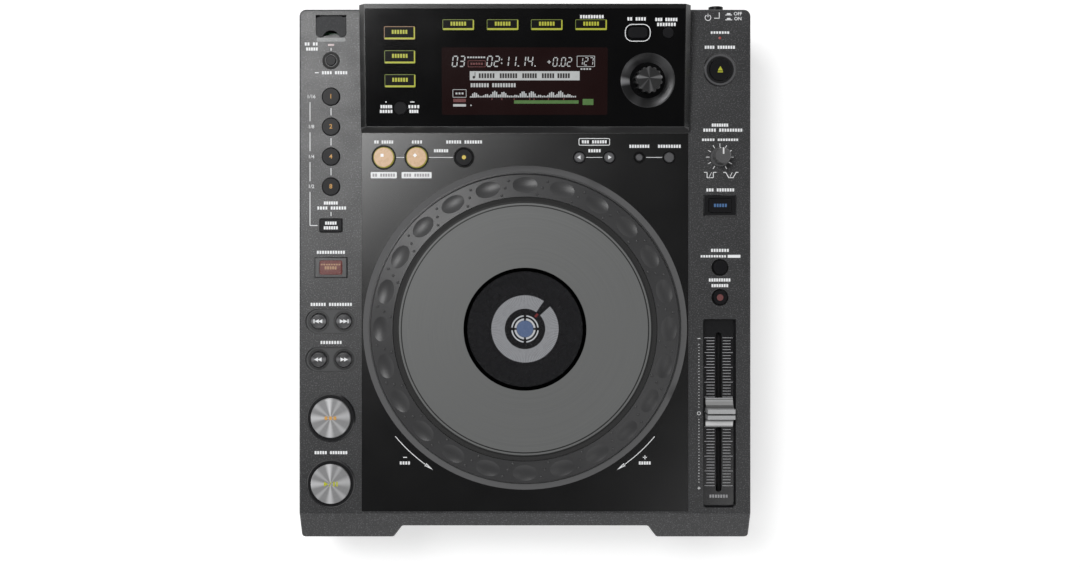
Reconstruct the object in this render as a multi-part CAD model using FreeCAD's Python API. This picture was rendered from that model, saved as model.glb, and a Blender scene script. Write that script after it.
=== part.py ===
"""Tabletop CD player for a DJ: case, hood, jog wheel, buttons, tempo fader and slot-in disc drive.

Everything is modelled in millimetres with the jog wheel's axis at x = 0, y = 0 and the table at z = 0.
+Y points to the rear and +Z up. The finished pieces are moved along Y so that the origin lies under the
middle of the whole player.
"""
import FreeCAD, Part
import os
from dataclasses import dataclass
from math import cos, pi, radians, sin, sqrt, tan

from FreeCAD import Rotation, Vector

# Case
JOG_RADIUS = 103.2
JOG_CLEARANCE = 0.8
BEZEL_WIDTH = 5.4
DECK_SIDE = 0.8
WING_WIDTH = 42.3
DECK_HEIGHT = 80.0
BEZEL_TO_LIP = 16.1
BEZEL_TO_HOOD = 22.1
HOOD_LENGTH = 83.5
LIP_RUN = 18.0
LIP_DROP = 10.0
NOTCH_WIDTH = 167.0
NOTCH_SETBACK = 8.6
NOTCH_FLARE = 6.2
REAR_CORNER = 4.5
FRONT_CORNER = 2.5
TOP_EDGE = 1.2
CASE_WALL = 3.0
TOP_WALL = 2.5
LEDGE = 2.0
LEDGE_WALL = 2.5
FOOT_HEIGHT = 5.0
FOOT_RADIUS = 11.0
FOOT_INSET = 22.0
TRAY_SHEET = 1.2
TRAY_INSET = 0.5
TRAY_FLANGE = 10.0

# Gloss deck and jog well
DECK_MARGIN = 1.5
DECK_SHEET = 2.5
BEZEL_RISE = 3.0
BEZEL_FLAT = 1.2
WELL_DEPTH = 5.5
WELL_WALL = 2.0

# Hood
HOOD_SETBACK = 3.0
HOOD_RISE = 9.0
HOOD_SLOPE = 6.0
HOOD_WALL = 3.0
HOOD_BEVEL_WIDTH = 3.7
HOOD_BEVEL_HEIGHT = 4.5
HOOD_RIM = 0.5
FACE_SHEET = 2.0
FACE_LEDGE = 3.0

# Jog wheel, heights above the deck
JOG_SKIRT = 2.0
JOG_SHOULDER = 11.0
JOG_RIM_TOP = 16.5
JOG_RIM_WIDTH = 15.6
JOG_RIM_FALL = 3.0
JOG_RIM_EDGE = 0.9
JOG_WALL = 2.0
JOG_WEB_TOP = 13.0
PLATE_TOP = 18.5
PLATE_SHEET = 3.0
PLATE_BEVEL = 2.0
PLATE_EDGE = 2.9
WINDOW_RADIUS = 40.5
WINDOW_SHEET = 1.5
WINDOW_LEDGE = 2.4
HUB_RADIUS = 30.0
HUB_FLANGE = 45.0
HUB_FLANGE_SHEET = 2.5
HUB_TOP = 12.0
SLEEVE_WALL = 3.0
JOG_DISPLAY_RADIUS = 26.0
JOG_DISPLAY_SHEET = 2.5
JOG_PRESS = 0.4
DIMPLE_COUNT = 24
DIMPLE_LENGTH = 17.0
DIMPLE_WIDTH = 10.9
DIMPLE_DEPTH = 1.1
DIMPLE_INSET = 7.8

# Clearances
BUTTON_GAP = 0.3
RUNNING_GAP = 0.05
MOVING_GAP = 0.3
SEAT_GAP = 0.05
PANEL_GAP = 0.1

# Buttons
BUTTON_TRAVEL = 0.6
PAD_TRAVEL = 1.0
BUTTON_FLANGE = 1.0
BUTTON_EDGE = 0.5
STEM_WIDTH = 3.0
STEM_LENGTH = 3.0
SWITCH_SIZE = 6.0
SWITCH_HEIGHT = 1.8
BOARD_SHEET = 1.6

# Columns of controls, from the case's sides, and rows, from its rear edge or the front lip
LEFT_COLUMN_IN = 21.5
RIGHT_COLUMN_IN = 20.85
FADER_IN = 21.1
STOP_BACK = 34.6
BEAT_BACK = 59.0
BEAT_PITCH = 20.25
BEAT_SELECT_BACK = 146.0
DIRECTION_BACK = 174.4
TRACK_BACK = 210.7
SEARCH_BACK = 236.5
PAIR_PITCH = 17.0
PAIR_PILL_WIDTH = 34.5
PAIR_PILL_DEPTH = 16.5
PAIR_PILL_SINK = 1.2
CUE_FORWARD = 64.7
PLAY_FORWARD = 20.3
PAD_RADIUS = 13.3
PAD_BEZEL_RADIUS = 16.5
PAD_BEZEL_RISE = 1.4
EJECT_BACK = 40.9
EJECT_RADIUS = 7.3
EJECT_BEZEL_RADIUS = 11.3
EJECT_BEZEL_RISE = 0.8
ADJUST_BACK = 99.8
JOG_MODE_BACK = 132.5
TEMPO_RANGE_BACK = 174.3
MASTER_TEMPO_BACK = 194.6
FRAME_WIDTH = 22.2
FRAME_DEPTH = 14.1
FRAME_RISE = 0.9
DECK_ROW_BACK = 16.5
MENU_BACK = 13.7
MENU_FIRST = -44.1
MENU_PITCH = 29.27
SOURCE_IN = 27.2
SOURCE_BACK = 19.0
SOURCE_PITCH = 15.6
TIME_MODE_BACK = 68.0
BACK_KEY_IN = 35.5
BACK_KEY_BACK = 18.8
TAG_IN = 15.4
SELECTOR_IN = 28.5
SELECTOR_BACK = 49.8
LOOP_IN_IN = 14.8
LOOP_OUT_IN = 37.0
RELOOP_IN = 69.0
MEMORY_IN = 12.9
CALL_PITCH = 20.2
SCREEN_WIDTH = 116.0
SCREEN_DEPTH = 50.0
SCREEN_BACK = 50.4

# USB port and its door
USB_BACK = 11.4
USB_DOOR_WIDTH = 20.0
USB_DOOR_DEPTH = 14.5
USB_DOOR_CORNER = 2.7
USB_DOOR_SHEET = 1.5
USB_WELL_WIDTH = 17.0
USB_WELL_DEPTH = 10.5
USB_WELL_SINK = 6.5
USB_HINGE_RADIUS = 1.2
USB_NOTCH_WIDTH = 11.4
USB_NOTCH_DEPTH = 4.5
USB_SHELL_WIDTH = 14.5
USB_SHELL_DEPTH = 7.1
USB_MOUTH_WIDTH = 12.5
USB_MOUTH_DEPTH = 5.1
USB_SHELL_HEIGHT = 14.0
USB_TONGUE = 1.9

# Tempo fader
FADER_WIDTH = 22.0
FADER_LENGTH = 127.2
FADER_FORWARD = 4.0
FADER_MIDDLE_FORWARD = 68.0
FADER_SINK = 4.0
FADER_FLOOR = 2.0
FADER_SLOT = 4.0
FADER_TRAVEL = 50.0
FADER_CAP_WIDTH = 18.4
FADER_CAP_LENGTH = 19.7
FADER_CAP_RISE = 10.0
FADER_CAP_FLANGE = 2.4
FADER_CAP_CREST = 7.0
FADER_CAP_DIP_OUT = 1.4
FADER_CAP_DIP_UP = 2.2
FADER_LINE = 0.9
FADER_LEVER = 1.6
FADER_LEVER_LENGTH = 6.0
FADER_TRACK_WIDTH = 12.0
FADER_TRACK_HEIGHT = 13.0
FADER_TRACK_WALL = 1.5

# Knobs
ADJUST_RADIUS = 6.4
ADJUST_HEIGHT = 15.0
ADJUST_SKIRT = 2.0
ADJUST_RIBS = 12
SELECTOR_RADIUS = 8.7
SELECTOR_HEIGHT = 13.4
SELECTOR_LOBES = 14
SELECTOR_LOBE_DEPTH = 0.9
SELECTOR_SEAT = 1.6
SELECTOR_CROWN = 2.0
SHAFT_COLLAR = 1.5
DISH_RADIUS = 18.0
DISH_INNER = 11.9
DISH_DEPTH = 2.2
DISH_SHEET = 1.6
SHAFT_RADIUS = 3.0
POT_SIZE = 10.0

# Slot-in disc drive
DISC_PLANE = 48.0
DISC_RADIUS = 60.0
SLOT_MARGIN = 3.0
SLOT_HEIGHT = 5.0
DRIVE_SIDE = 13.0
DRIVE_BEHIND = 12.0
DRIVE_SHEET = 1.5
DRIVE_FLOOR = 12.0
DRIVE_ROOF = 9.0
ROLLER_RADIUS = 4.0
ROLLER_PIN = 1.5
ROLLER_BACK = 9.5
DISC_GAP = 2.3
TURNTABLE_RADIUS = 13.0
TURNTABLE_CONE = 7.4
MOTOR_RADIUS = 14.0
MOTOR_HEIGHT = 4.0
PICKUP_WIDTH = 34.0
PICKUP_LENGTH = 24.0
PICKUP_HEIGHT = 6.0
PICKUP_REACH = 30.0
PICKUP_TRAVEL = 25.0
PICKUP_ROOM = 1.0
RAIL_RADIUS = 1.5
RAIL_SPACING = 24.0

# Rear wall, its sockets placed from the case's sides
REAR_SET_IN = 0.5
SOCKET_HEIGHT = 44.0
POWER_HEIGHT = 62.0
POWER_RADIUS = 5.0
POWER_RISE = 5.5
POWER_TRAVEL = 2.5
POWER_COLLAR = 1.2
INLET_IN = 60.5
INLET_WIDTH = 27.5
INLET_DEPTH = 20.0
INLET_WALL = 1.8
INLET_LIP = 2.0
INLET_LIP_SHEET = 1.5
INLET_REACH = 20.0
INLET_HOLLOW = 16.0
INLET_PIN_WIDTH = 2.0
INLET_PIN_HEIGHT = 4.0
INLET_PIN_PITCH = 7.0
INLET_PIN_DROP = 1.0
INLET_PIN_LIFT = 2.0
PHONO_IN = 68.5
PHONO_PITCH = 20.0
PHONO_LENGTH = 8.5
PHONO_RADIUS = 4.15
PHONO_BORE = 1.7
JACK_IN = 46.5
JACK_BORE = 1.8
JACK_LENGTH = 2.0
SOCKET_ROOT = 6.0
DATA_IN = 24.5
DATA_WIDTH = 12.0
DATA_HEIGHT = 11.0
DATA_WALL = 1.7
DATA_REACH = 14.0
DATA_LIP = 0.4
DATA_TONGUE_WIDTH = 5.6
DATA_TONGUE_HEIGHT = 3.2
VENT_X = 20.0
VENT_COUNT = 12
VENT_PITCH = 6.0
VENT_WIDTH = 2.4
VENT_HEIGHT = 18.0

# Fastening and boards
BOSS_RADIUS = 4.0
BOSS_SHOULDER = 1.2
BOSS_IN = 6.0
BOSS_FRONT = 6.5
BOSS_MIDDLE = 159.0
BOSS_REAR = 8.0
SCREW_RADIUS = 1.5
SCREW_HEAD = 2.9
SCREW_HEAD_HEIGHT = 1.7
SCREW_LENGTH = 8.0
KEY_BOARD_MARGIN = 1.0
KEY_BOARD_REACH = 2.0
KEY_BOARD_FRONT = 8.0
KEY_BOARD_REAR = 6.0
KEY_BRIDGE_FRONT = 8.0
KEY_BRIDGE_REAR = 10.0
FACE_BOARD_IN = 6.0
MAIN_BOARD_HEIGHT = 14.0
MAIN_BOARD_LENGTH = 138.0
MAIN_BOARD_REAR_GAP = 15.0
MAIN_BOARD_IN = 34.5
BOARD_POST_RADIUS = 3.0
BOARD_POST_IN = 8.0
TRANSFORMER_WIDTH = 36.0
TRANSFORMER_LENGTH = 42.0
TRANSFORMER_HEIGHT = 26.0
CAPACITOR_RADIUS = 8.0
CAPACITOR_HEIGHT = 22.0
CAPACITOR_PITCH = 20.0
CHIP_SIZE = 22.0
CHIP_HEIGHT = 3.0

# Sizes that follow
WELL_RADIUS = JOG_RADIUS + JOG_CLEARANCE
BEZEL_RADIUS = WELL_RADIUS + BEZEL_WIDTH
HALF_DECK = BEZEL_RADIUS + DECK_SIDE
HALF_CASE = HALF_DECK + WING_WIDTH
JOG_TO_LIP = BEZEL_RADIUS + BEZEL_TO_LIP
HOOD_FOOT = BEZEL_RADIUS + BEZEL_TO_HOOD
JOG_TO_REAR = HOOD_FOOT + HOOD_LENGTH
JOG_RIM_INNER = JOG_RADIUS - JOG_RIM_WIDTH
PLATE_RADIUS = JOG_RIM_INNER - MOVING_GAP - PLATE_EDGE
LEFT_COLUMN = LEFT_COLUMN_IN - HALF_CASE
RIGHT_COLUMN = HALF_CASE - RIGHT_COLUMN_IN
FADER_X = HALF_CASE - FADER_IN
FADER_FRONT = FADER_FORWARD - JOG_TO_LIP
FADER_REAR = FADER_FRONT + FADER_LENGTH
FADER_MIDDLE = FADER_MIDDLE_FORWARD - JOG_TO_LIP
USB_ROW = JOG_TO_REAR - USB_BACK
ADJUST_ROW = JOG_TO_REAR - ADJUST_BACK
DIRECTION_ROW = JOG_TO_REAR - DIRECTION_BACK
JOG_MODE_ROW = JOG_TO_REAR - JOG_MODE_BACK
EJECT_ROW = JOG_TO_REAR - EJECT_BACK
TRACK_ROW = JOG_TO_REAR - TRACK_BACK
SEARCH_ROW = JOG_TO_REAR - SEARCH_BACK
CUE_ROW = CUE_FORWARD - JOG_TO_LIP
PLAY_ROW = PLAY_FORWARD - JOG_TO_LIP
DECK_ROW = HOOD_FOOT - DECK_ROW_BACK
SELECTOR_X = HALF_DECK - SELECTOR_IN
SELECTOR_ROW = JOG_TO_REAR - SELECTOR_BACK
WING_FRONT = -JOG_TO_LIP - LIP_RUN
NOTCH_FRONT = WING_FRONT + NOTCH_SETBACK
DECK_FRONT = -JOG_TO_LIP + DECK_MARGIN
TRAY_TOP = FOOT_HEIGHT + TRAY_SHEET
PLAYER_FRONT = WING_FRONT
PLAYER_REAR = JOG_TO_REAR - REAR_SET_IN + PHONO_LENGTH
ORIGIN_SHIFT = Vector(0, -(PLAYER_FRONT + PLAYER_REAR) / 2, 0)
HOOD_EDGE = HOOD_FOOT + HOOD_SETBACK
FACE_REAR = (JOG_TO_REAR - HOOD_EDGE - HOOD_WALL) / cos(radians(HOOD_SLOPE))
DRIVE_FRONT = -JOG_TO_LIP + DECK_MARGIN + LEDGE + MOVING_GAP
SPINDLE_Y = DRIVE_FRONT + DISC_RADIUS + SEAT_GAP
DRIVE_WIDTH = 2 * (DISC_RADIUS + DRIVE_SIDE)
DRIVE_REAR = SPINDLE_Y + DISC_RADIUS + DRIVE_BEHIND
SLOT_WIDTH = 2 * (DISC_RADIUS + SLOT_MARGIN)
ROLLER_Y = DRIVE_FRONT + ROLLER_BACK
FLANGE_BOTTOM = TOP_WALL + SEAT_GAP + BUTTON_FLANGE
KEY_BOARD_TOP = DECK_HEIGHT - FLANGE_BOTTOM - STEM_LENGTH - PAD_TRAVEL - SEAT_GAP - SWITCH_HEIGHT
FACE_BOARD_TOP = -(FACE_SHEET + SEAT_GAP + BUTTON_FLANGE + STEM_LENGTH
                   + BUTTON_TRAVEL + SEAT_GAP + SWITCH_HEIGHT)
CAVITY_HALF = HALF_CASE - CASE_WALL
BOSS_X = HALF_CASE - BOSS_IN
REAR_WALL_INNER = JOG_TO_REAR - REAR_SET_IN - TRAY_SHEET


def box(x0, x1, y0, y1, z0, z1):
    return Part.makeBox(x1 - x0, y1 - y0, z1 - z0, Vector(x0, y0, z0))


def centred_box(x, y, width, depth, z0, z1):
    return box(x - width / 2, x + width / 2, y - depth / 2, y + depth / 2, z0, z1)


def rod(x, y, z0, z1, radius):
    return Part.makeCylinder(radius, z1 - z0, Vector(x, y, z0))


def join(shapes):
    first, *others = shapes
    return first.fuse(others).removeSplitter() if others else first


def rounded_outline(corners):
    """Closed face through corners (x, y, radius), each rounded by a tangent arc."""
    edges = []
    count = len(corners)
    ends = []
    for i, (x, y, radius) in enumerate(corners):
        here = Vector(x, y, 0)
        before = Vector(*corners[i - 1][:2], 0) - here
        after = Vector(*corners[(i + 1) % count][:2], 0) - here
        if radius == 0:
            ends.append((here, here, here))
            continue
        half = before.getAngle(after) / 2
        reach = radius / tan(half)
        start = here + before.normalize() * reach
        stop = here + after.normalize() * reach
        centre = here + (before + after).normalize() * (radius / sin(half))
        middle = centre + (here - centre).normalize() * radius
        ends.append((start, middle, stop))
    for i, (start, middle, stop) in enumerate(ends):
        last = ends[i - 1][2]
        if (start - last).Length > 1e-6:
            edges.append(Part.LineSegment(last, start).toShape())
        if (stop - start).Length > 1e-6:
            edges.append(Part.Arc(start, middle, stop).toShape())
    return Part.Face(Part.Wire(edges))


def rounded_box(x, y, width, depth, z0, z1, radius):
    """Upright block about (x, y) with rounded plan corners."""
    half_x = width / 2
    half_y = depth / 2
    corners = [(x - half_x, y - half_y, radius), (x + half_x, y - half_y, radius),
               (x + half_x, y + half_y, radius), (x - half_x, y + half_y, radius)]
    face = rounded_outline(corners)
    face.translate(Vector(0, 0, z0))
    return face.extrude(Vector(0, 0, z1 - z0))


def turned(profile, x=0.0, y=0.0):
    """Solid turned from a closed (radius, height) profile about an upright axis."""
    points = [Vector(radius, 0, height) for radius, height in profile]
    face = Part.Face(Part.makePolygon(points + points[:1]))
    face.translate(Vector(x, y, 0))
    return face.revolve(Vector(x, y, 0), Vector(0, 0, 1), 360)


def side_profile(points, x0, x1):
    """Solid with a (y, z) outline, drawn out along X."""
    corners = [Vector(x0, y, z) for y, z in points]
    return Part.Face(Part.makePolygon(corners + corners[:1])).extrude(Vector(x1 - x0, 0, 0))


def edges_where(shape, test):
    return [edge for edge in shape.Edges if test(edge)]


def is_upright(edge):
    span = edge.BoundBox
    return span.ZLength > 1 and span.XLength < 0.01 and span.YLength < 0.01


def on_hood(shape):
    """Places a shape drawn flat, with its face at z = 0 and the hood's front edge at y = 0."""
    tilted = shape.copy()
    tilted.rotate(Vector(0, 0, 0), Vector(1, 0, 0), HOOD_SLOPE)
    tilted.translate(Vector(0, HOOD_EDGE, DECK_HEIGHT + HOOD_RISE))
    return tilted


def face_row(y):
    """Distance up the hood's face for a place y behind the jog axis."""
    return (y - HOOD_EDGE) / cos(radians(HOOD_SLOPE))


@dataclass
class Button:
    """One push button: round where depth is 0, else a rounded key."""

    name: str
    x: float
    y: float
    width: float
    depth: float = 0.0
    rise: float = 1.0
    bezel: float = 0.0
    travel: float = BUTTON_TRAVEL
    corner: float = 0.8
    sink: float = 0.0

    def solid(self, grow, z0, z1):
        """The button's outline, grown all round, from z0 to z1."""
        if self.depth == 0:
            return rod(self.x, self.y, z0, z1, self.width / 2 + grow)
        return rounded_box(self.x, self.y, self.width + 2 * grow, self.depth + 2 * grow, z0, z1,
                           self.corner + max(grow, 0))

    def cap(self, sheet):
        """Cap, retaining flange and stem, with the panel's face at z = 0."""
        top = self.bezel + self.rise - self.sink
        under = -sheet - self.sink - SEAT_GAP
        cap = self.solid(0, under, top)
        rim = edges_where(cap, lambda edge: abs(edge.BoundBox.ZMin - top) < 0.01)
        cap = cap.makeChamfer(min(BUTTON_EDGE, self.rise / 2), rim)
        flange = self.solid(BUTTON_FLANGE, under - BUTTON_FLANGE, under)
        bottom = self.switch_height(sheet) + SEAT_GAP + self.travel
        stem = centred_box(self.x, self.y, STEM_WIDTH, STEM_WIDTH, bottom, under)
        return join([cap, flange, stem])

    def hole(self, sheet):
        return self.solid(BUTTON_GAP, -sheet - self.sink - 1, self.bezel + self.rise + 1)

    def switch_height(self, sheet):
        """Top of the button's switch below the panel's face, alike for every button of one panel."""
        longest = BUTTON_TRAVEL if sheet == FACE_SHEET else PAD_TRAVEL
        return -(sheet + SEAT_GAP + BUTTON_FLANGE + STEM_LENGTH + longest + SEAT_GAP)


def left_buttons():
    """Buttons of the left wing, from rear to front."""
    rear = JOG_TO_REAR
    buttons = [Button("usb_stop_button", LEFT_COLUMN, rear - STOP_BACK, 7.0, rise=0.8)]
    for i, beats in enumerate((1, 2, 4, 8)):
        row = rear - BEAT_BACK - i * BEAT_PITCH
        buttons.append(Button(f"beat_button_{beats}", LEFT_COLUMN, row, 12.0))
    buttons.append(Button("beat_select_button", LEFT_COLUMN, rear - BEAT_SELECT_BACK, 15.2, 9.1))
    buttons.append(Button("direction_button", LEFT_COLUMN, DIRECTION_ROW, 14.9, 9.1, bezel=FRAME_RISE))
    for row, kind in ((TRACK_ROW, "track"), (SEARCH_ROW, "search")):
        for side, way in ((-1, "back"), (1, "forward")):
            x = LEFT_COLUMN + side * PAIR_PITCH / 2
            buttons.append(Button(f"{kind}_{way}_button", x, row, 10.5, rise=1.2, sink=PAIR_PILL_SINK))
    for row, kind in ((CUE_ROW, "cue"), (PLAY_ROW, "play")):
        buttons.append(Button(f"{kind}_button", LEFT_COLUMN, row, 2 * PAD_RADIUS, rise=1.2,
                              bezel=PAD_BEZEL_RISE, travel=PAD_TRAVEL))
    return buttons


def right_buttons():
    """Buttons of the right wing, from rear to front."""
    return [
        Button("eject_button", RIGHT_COLUMN, EJECT_ROW, 2 * EJECT_RADIUS, rise=1.0, bezel=EJECT_BEZEL_RISE),
        Button("jog_mode_button", RIGHT_COLUMN, JOG_MODE_ROW, 15.0, 9.0, bezel=FRAME_RISE),
        Button("tempo_range_button", RIGHT_COLUMN, JOG_TO_REAR - TEMPO_RANGE_BACK, 9.4),
        Button("master_tempo_button", RIGHT_COLUMN, JOG_TO_REAR - MASTER_TEMPO_BACK, 9.4),
    ]


def deck_buttons():
    """Row of buttons between the jog wheel and the hood, from left to right."""
    memory = HALF_DECK - MEMORY_IN
    return [
        Button("loop_in_button", LOOP_IN_IN - HALF_DECK, DECK_ROW, 13.8, rise=1.2),
        Button("loop_out_button", LOOP_OUT_IN - HALF_DECK, DECK_ROW, 13.8, rise=1.2),
        Button("reloop_button", RELOOP_IN - HALF_DECK, DECK_ROW, 11.6, rise=1.0),
        Button("call_back_button", memory - 3 * CALL_PITCH, DECK_ROW, 6.8, rise=0.8),
        Button("call_forward_button", memory - 2 * CALL_PITCH, DECK_ROW, 6.8, rise=0.8),
        Button("delete_button", memory - CALL_PITCH, DECK_ROW, 4.6, rise=0.6),
        Button("memory_button", memory, DECK_ROW, 6.6, rise=0.8),
    ]


def hood_buttons():
    """Keys and buttons of the hood, placed on its sloping face."""
    buttons = []
    for i in range(3):
        row = face_row(JOG_TO_REAR - SOURCE_BACK - i * SOURCE_PITCH)
        buttons.append(Button(f"source_button_{i + 1}", SOURCE_IN - HALF_DECK, row, 20.5, 8.6))
    row = face_row(JOG_TO_REAR - TIME_MODE_BACK)
    buttons.append(Button("time_mode_button", SOURCE_IN - HALF_DECK, row, 8.6, rise=0.8))
    row = face_row(JOG_TO_REAR - MENU_BACK)
    for i in range(4):
        buttons.append(Button(f"menu_button_{i + 1}", MENU_FIRST + i * MENU_PITCH, row, 20.9, 7.0))
    row = face_row(JOG_TO_REAR - BACK_KEY_BACK)
    buttons.append(Button("back_button", HALF_DECK - BACK_KEY_IN, row, 12.7, 7.1, corner=3.0))
    buttons.append(Button("tag_button", HALF_DECK - TAG_IN, row, 7.1, rise=0.8))
    return buttons


def case_outline(inset):
    """Plan of the case with the notch in its front, drawn in by inset."""
    half = HALF_CASE - inset
    front = WING_FRONT + inset
    notch = NOTCH_FRONT + inset
    rear = JOG_TO_REAR - inset
    inner = NOTCH_WIDTH / 2 - inset * 0.5
    outer = inner + NOTCH_FLARE
    return rounded_outline([
        (-half, rear, REAR_CORNER), (half, rear, REAR_CORNER), (half, front, FRONT_CORNER),
        (outer, front, FRONT_CORNER), (inner, notch, FRONT_CORNER),
        (-inner, notch, FRONT_CORNER), (-outer, front, FRONT_CORNER), (-half, front, FRONT_CORNER)])


def case_block():
    """Outer form of the case, with its front lip sloping down and a small radius round the top."""
    face = case_outline(0)
    face.translate(Vector(0, 0, TRAY_TOP))
    block = face.extrude(Vector(0, 0, DECK_HEIGHT - TRAY_TOP))
    over = LIP_RUN + 1
    slope = LIP_DROP / LIP_RUN
    lip = side_profile([(-JOG_TO_LIP, DECK_HEIGHT), (-JOG_TO_LIP - over, DECK_HEIGHT - over * slope),
                        (-JOG_TO_LIP - over, DECK_HEIGHT + 1), (-JOG_TO_LIP, DECK_HEIGHT + 1)],
                       -HALF_CASE - 1, HALF_CASE + 1)
    block = block.cut(lip)
    low = DECK_HEIGHT - LIP_DROP - 0.1
    rim = edges_where(block, lambda edge: edge.BoundBox.ZMin > low and not is_upright(edge)
                      and not (edge.BoundBox.YLength < 0.01 and abs(edge.BoundBox.YMin + JOG_TO_LIP) < 0.01))
    return block.makeFillet(TOP_EDGE, rim)


def boss_places():
    rows = (BOSS_FRONT - JOG_TO_LIP, JOG_TO_REAR - BOSS_MIDDLE, JOG_TO_REAR - BOSS_REAR)
    return [(side * BOSS_X, row) for side in (-1, 1) for row in rows]


def wing_bezels():
    """Raised rings and frames moulded round the lit buttons."""
    top = DECK_HEIGHT
    pieces = []
    for row in (CUE_ROW, PLAY_ROW):
        pieces.append(turned([(0, top - 1), (PAD_BEZEL_RADIUS, top - 1), (PAD_BEZEL_RADIUS, top + 0.4),
                              (PAD_BEZEL_RADIUS - 1, top + PAD_BEZEL_RISE), (0, top + PAD_BEZEL_RISE)],
                             LEFT_COLUMN, row))
    pieces.append(turned([(0, top - 1), (EJECT_BEZEL_RADIUS, top - 1), (EJECT_BEZEL_RADIUS, top + 0.3),
                          (EJECT_BEZEL_RADIUS - 0.9, top + EJECT_BEZEL_RISE), (0, top + EJECT_BEZEL_RISE)],
                         RIGHT_COLUMN, EJECT_ROW))
    for x, row in ((LEFT_COLUMN, DIRECTION_ROW), (RIGHT_COLUMN, JOG_MODE_ROW)):
        frame = rounded_box(x, row, FRAME_WIDTH, FRAME_DEPTH, top - 1, top + FRAME_RISE, 1.2)
        rim = edges_where(frame, lambda edge: edge.BoundBox.ZMin > top)
        pieces.append(frame.makeChamfer(0.5, rim))
    return pieces


def top_case():
    """Matte moulding: both wings, the front lip with the disc slot, and the side walls."""
    case = case_block()
    front = -JOG_TO_LIP + DECK_MARGIN + LEDGE
    case = case.cut(box(-CAVITY_HALF, CAVITY_HALF, front, JOG_TO_REAR + 1, TRAY_TOP - 1, DECK_HEIGHT - TOP_WALL))
    wide = HALF_DECK + PANEL_GAP
    seat = DECK_HEIGHT - DECK_SHEET
    case = case.cut(box(-wide, wide, DECK_FRONT - PANEL_GAP, JOG_TO_REAR + 1, seat, DECK_HEIGHT + 1))
    inner = HALF_DECK - LEDGE
    additions = [box(-HALF_DECK - CASE_WALL, HALF_DECK + CASE_WALL, front - 1, JOG_TO_REAR,
                     seat - LEDGE_WALL, seat)]
    additions += wing_bezels()
    fader_half = FADER_WIDTH / 2 + CASE_WALL
    additions.append(box(FADER_X - fader_half, FADER_X + fader_half, front - 1, FADER_REAR + CASE_WALL,
                         DECK_HEIGHT - FADER_SINK - FADER_FLOOR, DECK_HEIGHT - 1))
    additions.append(centred_box(LEFT_COLUMN, (TRACK_ROW + SEARCH_ROW) / 2, PAIR_PILL_WIDTH + 2 * LEDGE,
                                 TRACK_ROW - SEARCH_ROW + PAIR_PILL_DEPTH + 2 * LEDGE,
                                 DECK_HEIGHT - PAIR_PILL_SINK - TOP_WALL, DECK_HEIGHT - 1))
    additions.append(centred_box(LEFT_COLUMN, USB_ROW, USB_DOOR_WIDTH + 2 * CASE_WALL,
                                 USB_DOOR_DEPTH + 2 * CASE_WALL, DECK_HEIGHT - USB_WELL_SINK - TOP_WALL,
                                 DECK_HEIGHT - 1))
    for x, y in boss_places():
        additions.append(rod(x, y, TRAY_TOP, KEY_BOARD_TOP, BOSS_RADIUS))
        additions.append(rod(x, y, KEY_BOARD_TOP, DECK_HEIGHT - 1, BOSS_RADIUS + BOSS_SHOULDER))
    clip = box(-CAVITY_HALF - 1, CAVITY_HALF + 1, front - 2, REAR_WALL_INNER, TRAY_TOP, DECK_HEIGHT + 2)
    case = case.fuse([piece.common(clip) for piece in additions])
    case = case.cut(box(-inner, inner, front, JOG_TO_REAR + 1, TRAY_TOP - 1, DECK_HEIGHT + 1))
    return case.cut(top_case_holes()).removeSplitter()


def top_case_holes():
    """Every hole and sunk place in the wings and the front wall."""
    top = DECK_HEIGHT
    cuts = []
    for button in left_buttons() + right_buttons():
        hole = button.hole(TOP_WALL + PAIR_PILL_SINK)
        hole.translate(Vector(0, 0, top))
        cuts.append(hole)
    for row in (TRACK_ROW, SEARCH_ROW):
        cuts.append(rounded_box(LEFT_COLUMN, row, PAIR_PILL_WIDTH, PAIR_PILL_DEPTH, top - PAIR_PILL_SINK,
                                top + 1, PAIR_PILL_DEPTH / 2 - 0.1))
    length = FADER_REAR - FADER_FRONT
    middle = (FADER_REAR + FADER_FRONT) / 2
    cuts.append(rounded_box(FADER_X, middle, FADER_WIDTH, length, top - FADER_SINK, top + 1, 2.5))
    slot = 2 * FADER_TRAVEL + FADER_LEVER_LENGTH + 2
    cuts.append(rounded_box(FADER_X, FADER_MIDDLE, FADER_SLOT, slot, top - FADER_SINK - FADER_FLOOR - 1,
                            top, FADER_SLOT / 2 - 0.1))
    cuts.append(rod(RIGHT_COLUMN, ADJUST_ROW, top - TOP_WALL - 1, top + 1, SHAFT_RADIUS + MOVING_GAP))
    cuts.append(rounded_box(LEFT_COLUMN, USB_ROW, USB_DOOR_WIDTH + 2 * BUTTON_GAP,
                            USB_DOOR_DEPTH + 2 * BUTTON_GAP, top - USB_DOOR_SHEET, top + 1, USB_DOOR_CORNER))
    cuts.append(centred_box(LEFT_COLUMN, USB_ROW - 1, USB_WELL_WIDTH, USB_WELL_DEPTH, top - USB_WELL_SINK, top))
    cuts.append(centred_box(LEFT_COLUMN, USB_ROW - 1, USB_SHELL_WIDTH + PANEL_GAP, USB_SHELL_DEPTH + PANEL_GAP,
                            top - USB_WELL_SINK - TOP_WALL - 1, top))
    cuts.append(usb_hinge_room())
    cuts.append(box(-SLOT_WIDTH / 2, SLOT_WIDTH / 2, NOTCH_FRONT - 1, DRIVE_FRONT + 1,
                    DISC_PLANE - SLOT_HEIGHT / 2, DISC_PLANE + SLOT_HEIGHT / 2))
    for x, y in boss_places():
        cuts.append(rod(x, y, TRAY_TOP - 1, TRAY_TOP + SCREW_LENGTH, SCREW_RADIUS))
    return cuts


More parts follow.
